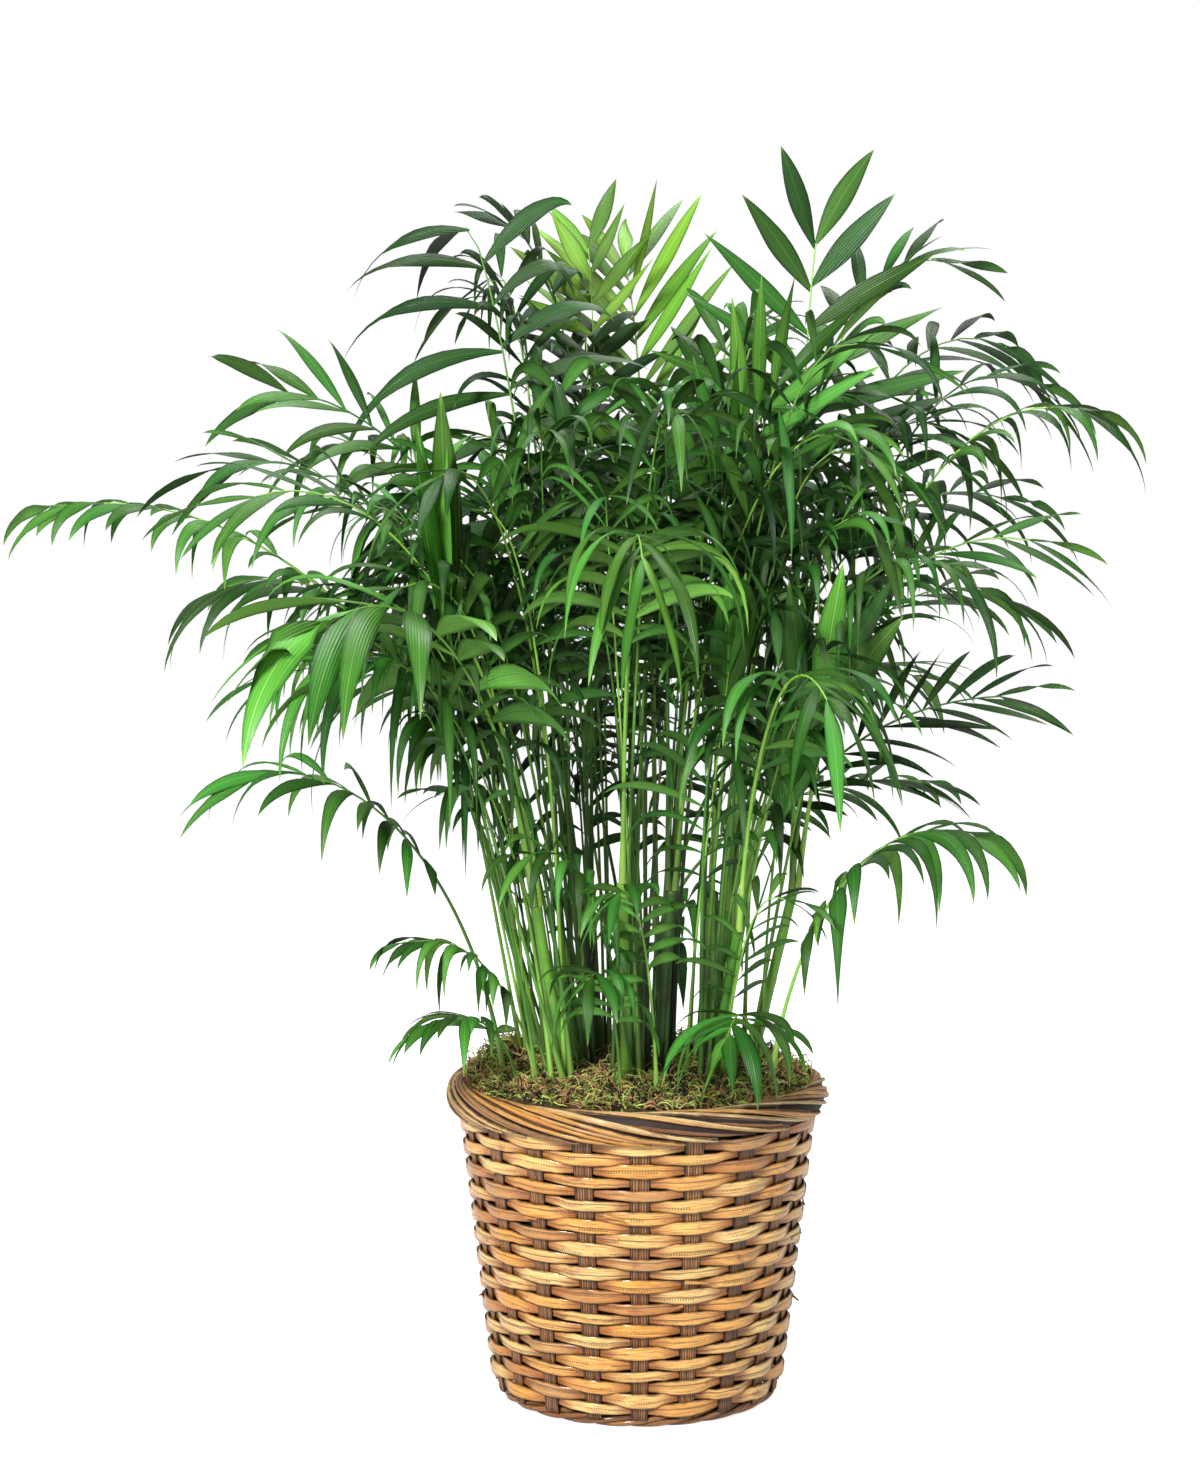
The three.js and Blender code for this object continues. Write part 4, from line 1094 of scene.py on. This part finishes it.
def makeSlats():  # a strip with fine upright reeds, given its thickness and set round the wall
    piece = startPiece("slatPattern", bpy.ops.mesh.primitive_grid_add, x_subdivisions=slat["reeds"] * 2,
                       y_subdivisions=slat["rows"], size=2)
    for vertex in piece.data.vertices:
        column = round((vertex.co.x + 1) / 2 * slat["reeds"] * 2)
        vertex.co.z = slat["reedDeep"] if column % 2 else 0.0
    thicken = piece.modifiers.new("thickness", "SOLIDIFY")
    thicken.thickness = slat["thick"]
    bpy.ops.object.modifier_apply(modifier="thickness")
    pattern = patternOf(piece)
    x, y, depth = pattern["points"].T
    up = (y + 1) / 2
    uv = np.column_stack([up * slat["mapLength"], x / 2 + 0.5])
    high = mix(wall["bottom"] - slat["below"], wall["top"] + slat["above"], up)
    width = slat["wide"] / 2 * mix(*slat["widen"], up)
    r = wallMiddle(high) + depth
    shapes, tones = [], []
    random = np.random.default_rng(5)
    for k in range(wall["slats"]):
        aside = x * width + random.uniform(-slat["lean"], slat["lean"]) * (y + 0.3)
        shapes.append(roundAxis(r, math.radians(k * 360 / wall["slats"]) + aside / r, high) * mm)
        tones.append((random.uniform(0, 1), 0.0, random.uniform(0, 1)))
    material = makeCaneMaterial("slatCane", "#c08752", "#9c683a", "#6e4324", "#2a1408", rough=0.5,
                                reeds=slat["reeds"])
    finishPiece(joinCopies("basketSlats", pattern, shapes, material, tones=tones, uv=uv))


strayEnd = {"count": 16, "long": (9, 17), "wide": (1.2, 2.2), "proud": (2.5, 5), "sides": 6, "rings": 5,
            "turn": 137.5, "turnBy": 20, "heights": (30, 195), "clear": 0.3, "taper": 0.6, "bend": 2.5,
            "thick": 0.7}


def makeStrayEnds():  # the cut ends of canes that stand a little off the weave
    pattern = ringedTube(strayEnd["sides"], strayEnd["rings"])
    x, y, t = pattern["points"].T
    random = np.random.default_rng(36)
    shapes, tones = [], []
    for k in range(strayEnd["count"]):
        start = math.radians(k * strayEnd["turn"] + random.uniform(-strayEnd["turnBy"], strayEnd["turnBy"]))
        long, wide, proud, high = (random.uniform(*strayEnd[key])
                                   for key in ("long", "wide", "proud", "heights"))
        way = random.choice((-1, 1))
        r = wallMiddle(high) + wall["relief"] + strayEnd["clear"] + proud * t ** 1.5
        angle = start + way * long * t / r
        z = high + x * (wide * (1 - strayEnd["taper"] * t)) + strayEnd["bend"] * t * random.uniform(-1, 1)
        shapes.append(roundAxis(r + y * strayEnd["thick"], angle, z) * mm)
        tones.append((random.uniform(0, 1), random.uniform(0.2, 0.9), random.uniform(0, 1)))
    material = bpy.data.materials["weaverCane"]
    piece = joinCopies("basketStrayEnds", pattern, shapes, material, tones=tones, uv=pattern["uv"])
    finishPiece(piece)


# the border: strands that wind from its inner side over the top and down outside, over a near-black core that
# is painted shade in the gaps between them
border = {"radius": 129.8, "wide": 8.5, "high": 12.2, "middle": 216.6, "strands": 40, "from": 156, "to": -72,
          "arc": 92, "arcBy": 12, "pairGap": 0.44, "jitter": 2.6, "halfWide": 1.6, "wideBy": (0.8, 1.15),
          "halfThick": 1.6, "layer": (-0.9, 0.6), "inset": (1.4, 1.6), "wave": 1.2, "over": 1.12, "sides": 8,
          "rings": 60, "taper": (0.05, 0.35), "ripple": (0.06, 23), "under": 26, "underDepth": 2.9,
          "underJitter": 5, "innerPart": (0.36, 0.3), "innerSideShade": 0.6, "brownBy": 0.2, "underGapShade": 0.9,
          "mapLength": 20, "core": (16, 120), "coreInset": (2.8, 3.2), "coreShadeColours": ("#120a05", "#2c180c")}


def borderPath(first, arc, layer, q):  # place, angle round the section and about the axis, at q of the length
    angle = first + arc * q
    # just before a strand's start q is below 0 and this power is no number, which spoils the first ring
    side = np.radians(mix(border["from"], border["to"], q ** border["over"]))
    r = border["radius"] + (border["wide"] - border["inset"][0] + layer) * np.cos(side)
    z = border["middle"] + (border["high"] - border["inset"][1] + layer) * np.sin(side)
    return roundAxis(r, angle, z + border["wave"] * np.cos(2 * angle + 0.6)), side, angle


def makeBorder():
    pattern = ringedTube(border["sides"], border["rings"])
    x, y, t = pattern["points"].T
    random = np.random.default_rng(21)
    shapes, tones, maps = [], [], []
    for k in range(border["strands"] + border["under"]):
        under = k >= border["strands"]  # deeper strands that show in the gaps between the others, darkened there as painted shade
        pair, second = divmod(k, 2)
        first = ((pair + second * border["pairGap"]) * 720 / border["strands"]
                 + random.uniform(-border["jitter"], border["jitter"]))
        if under:
            first = k * 360 / border["under"] + random.uniform(-border["underJitter"], border["underJitter"])
        first = math.radians(first)
        arc = math.radians(border["arc"] + random.uniform(-border["arcBy"], border["arcBy"]))
        wide = border["halfWide"] * random.uniform(*border["wideBy"])
        layer = random.uniform(*border["layer"]) - border["underDepth"] * under
        at, side, angle = borderPath(first, arc, layer, t)
        after, before = (borderPath(first, arc, layer, t + step)[0] for step in (0.004, -0.004))
        ahead = unit(after - before)
        outward = roundAxis(np.cos(side), angle, np.sin(side))
        outward = outward / (border["wide"], border["wide"], border["high"])
        outward = unit(outward - ahead * (outward * ahead).sum(1, keepdims=True))
        across = np.cross(outward, ahead)
        taper = np.clip(np.minimum(t, 1 - t) / border["taper"][0], border["taper"][1], 1)
        taper = taper * (1 + border["ripple"][0] * np.sin(t * border["ripple"][1] + k))
        section = across * (x * wide * taper)[:, None]
        shapes.append((at + section + outward * (y * border["halfThick"])[:, None]) * mm)
        shade = random.uniform(0, 1)
        # painted shade on the strand's part inside the rim and on the strands in the gaps, plus real browning
        # at random
        innerShade = np.clip((border["innerPart"][0] - t) / border["innerPart"][1], 0, 1)
        shadeAndWear = innerShade * border["innerSideShade"] + random.uniform(0, border["brownBy"])
        shadeAndWear = shadeAndWear + border["underGapShade"] * under
        tones.append(np.column_stack([np.full(len(t), shade), shadeAndWear, np.full(len(t), random.uniform(0, 1))]))
        maps.append(np.column_stack([t * border["mapLength"], x / 2 + 0.5]))
    material = makeCaneMaterial("borderCane", "#ffe2a0", "#f0a748", "#7c4018", "#1e0d06", stain="#8e2120",
                                rough=0.34, coat=0.25)
    piece = joinCopies("basketBorder", pattern, shapes, material, tones=tones, uv=np.array(maps))
    finishPiece(piece, ["basket_rim"])


def makeBorderCore():
    core = modelHoop(*border["core"])
    r = border["radius"] + core["out"] * (border["wide"] - border["coreInset"][0])
    z = border["middle"] + core["rise"] * (border["high"] - border["coreInset"][1])
    shape = roundAxis(r, np.radians(core["turn"]), z) * mm
    # the core's near-black colour is painted shade, seen in the gaps between strands
    dark = mottledMaterial("borderCoreShade", 60.0, 2.0, *border["coreShadeColours"], 0.7)
    finishPiece(joinCopies("basketBorderCore", core, [shape], dark))


footHoop = {"radius": 96.5, "middle": 5, "twist": 2.7, "wider": 1.35, "rod": 2.15, "rods": 4, "turns": 6,
            "sides": 8, "steps": 300}


def makeFoot():  # four rods twisted together
    pattern = modelHoop(footHoop["sides"], footHoop["steps"])
    turn, out, rise = np.radians(pattern["turn"]), pattern["out"], pattern["rise"]
    shapes, maps = [], []
    for k in range(footHoop["rods"]):
        wind = turn * footHoop["turns"] + k * 2 * math.pi / footHoop["rods"]
        r = footHoop["radius"] + footHoop["twist"] * footHoop["wider"] * np.cos(wind) + out * footHoop["rod"]
        z = footHoop["middle"] + footHoop["twist"] * np.sin(wind) + rise * footHoop["rod"]
        shapes.append(roundAxis(r, turn, z) * mm)
        maps.append(np.column_stack([turn * 10, rise / 2 + 0.5]))
    material = makeCaneMaterial("footCane", "#c78d4c", "#9c6330", "#66381c", "#2c170c", rough=0.45)
    tones = [(0.2 + 0.25 * k, 0.2, 0.3 * k) for k in range(footHoop["rods"])]
    piece = joinCopies("basketFoot", pattern, shapes, material, tones=tones, uv=np.array(maps))
    finishPiece(piece, ["basket_foot"])


makeWeavers()
makeSlats()
makeStrayEnds()
makeBorder()
makeBorderCore()
makeFoot()
print("basket woven")


def dressFloorAndSoil():  # these two keep their solids
    plank = mottledMaterial("floorCane", 30.0, 1.6, "#6d4424", "#9a6a3c", 0.4, uneven=0.3, bump=(0.4, 0.001))
    soil = mottledMaterial("pottingSoil", 90.0, 2.2, "#17100a", "#35261a", 0.95, bump=(0.8, 0.003))
    for name, material in (("basket_floor", plank), ("root_ball", soil)):
        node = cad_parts[name]
        node.data.materials.clear()
        node.data.materials.append(material)


dressFloorAndSoil()

# moss: a lumpy mound under loose strands; the mound and one kind of strand are near black, painted shade
# among the strands
moss = {"radius": 122.5, "edge": 229, "top": 239, "skirt": 206, "rings": 34, "around": 110, "sink": 2.5,
        "rough": 0.8, "calm": 0.6,  # each mound is x, y, height and spread
        "mounds": ((-92, 12, 15, 24), (86, 34, 5, 24), (12, 84, 5, 40), (-40, -88, 3, 30))}
strand = {"count": 7500, "quickCount": 1500, "sides": 3, "steps": 5, "long": (8, 24), "thick": (0.42, 0.95),
          "taper": 0.7, "edge": 0.995, "rise": (0.25, 1.1), "wander": 0.5, "fall": 0.28, "root": 2.2,
          "rest": 1.5, "overhang": 4}
# light and dark colour, and share of the strands
mossKinds = {"Green": ("#cfdc76", "#7f9636", 0.3), "Olive": ("#8f9142", "#464e1b", 0.19),
             # the near-black kind is painted shade among the strands
             "Brown": ("#d4a070", "#6e4526", 0.25), "Dark": ("#20140a", "#0c0703", 0.26)}


def lumps(x, y):  # the moss's height above its smooth mound
    slow = 3.4 * np.sin(x * 0.055 + 1.3) * np.cos(y * 0.061 - 0.4)
    quick = 2.4 * np.sin(x * 0.13 + y * 0.09)
    return slow + quick + 1.8 * np.cos(x * 0.21 - y * 0.19 + 2)


def mossHeight(x, y):
    r = np.hypot(x, y) / moss["radius"]
    height = mix(moss["top"], moss["edge"], np.clip(r, 0, 1) ** 5) + lumps(x, y) * (1 - moss["calm"] * r)
    for middleX, middleY, rise, spread in moss["mounds"]:
        height = height + rise * np.exp(-((x - middleX) ** 2 + (y - middleY) ** 2) / spread ** 2)
    return height


def makeMossMound():
    piece = startPiece("mossMound", bpy.ops.mesh.primitive_circle_add, vertices=moss["around"],
                       radius=moss["radius"], fill_type="NOTHING")
    editMesh()
    bpy.ops.mesh.extrude_region_move(TRANSFORM_OT_translate={"value": (0, 0, 1)})
    for ring in range(moss["rings"]):
        narrow = (moss["rings"] - ring - 0.5) / (moss["rings"] - ring + 0.5)
        bpy.ops.mesh.extrude_region_move(TRANSFORM_OT_translate={"value": (0, 0, 0)})
        bpy.ops.transform.resize(value=(narrow, narrow, 1))
    bpy.ops.mesh.merge(type="CENTER")
    leaveMesh()
    random = np.random.default_rng(3)
    for vertex in piece.data.vertices:
        x, y = vertex.co.x, vertex.co.y
        top = float(mossHeight(x, y)) + random.uniform(-moss["rough"], moss["rough"]) - moss["sink"]
        vertex.co = (x * mm, y * mm, (top if vertex.co.z > 0.5 else moss["skirt"]) * mm)
    editMesh()
    bpy.ops.mesh.normals_make_consistent(inside=False)
    leaveMesh()
    bpy.ops.object.shade_smooth()
    # the bed's near-black colour is painted shade under the strands
    bed = mottledMaterial("mossBedShade", 30.0, 2.4, "#0e0905", "#25200c", 0.95, fleck="#6b5228",
                          bump=(1.0, 0.003))
    piece.data.materials.append(bed)
    finishPiece(piece, ["moss"])


def layStrands(random, count):  # the line of every strand, from its root, and each strand's thickness
    away = moss["radius"] * np.maximum(np.sqrt(random.uniform(0, 1, count)), random.uniform(0, 1, count))
    away *= strand["edge"]
    heading = random.uniform(0, 2 * math.pi, count)
    x, y = away * np.cos(heading), away * np.sin(heading)
    line = [np.column_stack([x, y, mossHeight(x, y) - strand["root"]])]
    lengths = random.uniform(*strand["long"], count)
    thick = random.uniform(*strand["thick"], count)
    flow = unit(np.column_stack([random.normal(0, 1, count), random.normal(0, 1, count),
                                 random.uniform(*strand["rise"], count)]))
    for step in range(strand["steps"]):
        line.append(line[-1] + flow * (lengths / strand["steps"])[:, None])
        flow = unit(flow + random.normal(0, strand["wander"], (count, 3)) - upward * strand["fall"] * step)
    line = np.array(line)
    line[:, :, 2] = np.maximum(line[:, :, 2], mossHeight(line[:, :, 0], line[:, :, 1]) - strand["rest"])
    far = np.hypot(line[:, :, 0], line[:, :, 1])
    line[:, :, :2] *= np.minimum(1, (moss["radius"] + strand["overhang"]) / far)[:, :, None]
    return line, thick


def makeMossStrands():
    pattern = ringedTube(strand["sides"], strand["steps"])
    px, py, pz = pattern["points"].T
    ringOf = np.round(pz * strand["steps"]).astype(int)
    random = np.random.default_rng(8)
    count = strand["count"]
    kinds = random.choice(len(mossKinds), count, p=[row[2] for row in mossKinds.values()])
    line, thick = layStrands(random, count)
    tangent = unit(np.gradient(line, axis=0))
    aside = unit(np.cross(tangent, upward + 0.01))
    above = np.cross(aside, tangent)
    for number, (kind, (light, dark, _)) in enumerate(mossKinds.items()):
        shapes = []
        for i in np.nonzero(kinds == number)[0]:
            fine = thick[i] * (1 - strand["taper"] * pz)[:, None]
            section = aside[ringOf, i] * px[:, None] + above[ringOf, i] * py[:, None]
            shapes.append((line[ringOf, i] + section * fine) * mm)
        material = mottledMaterial("moss" + kind, 55.0, 2.4, dark, light, 0.8)
        finishPiece(joinCopies("mossStrands" + kind, pattern, shapes, material))


makeMossMound()
makeMossStrands()
print("moss laid")
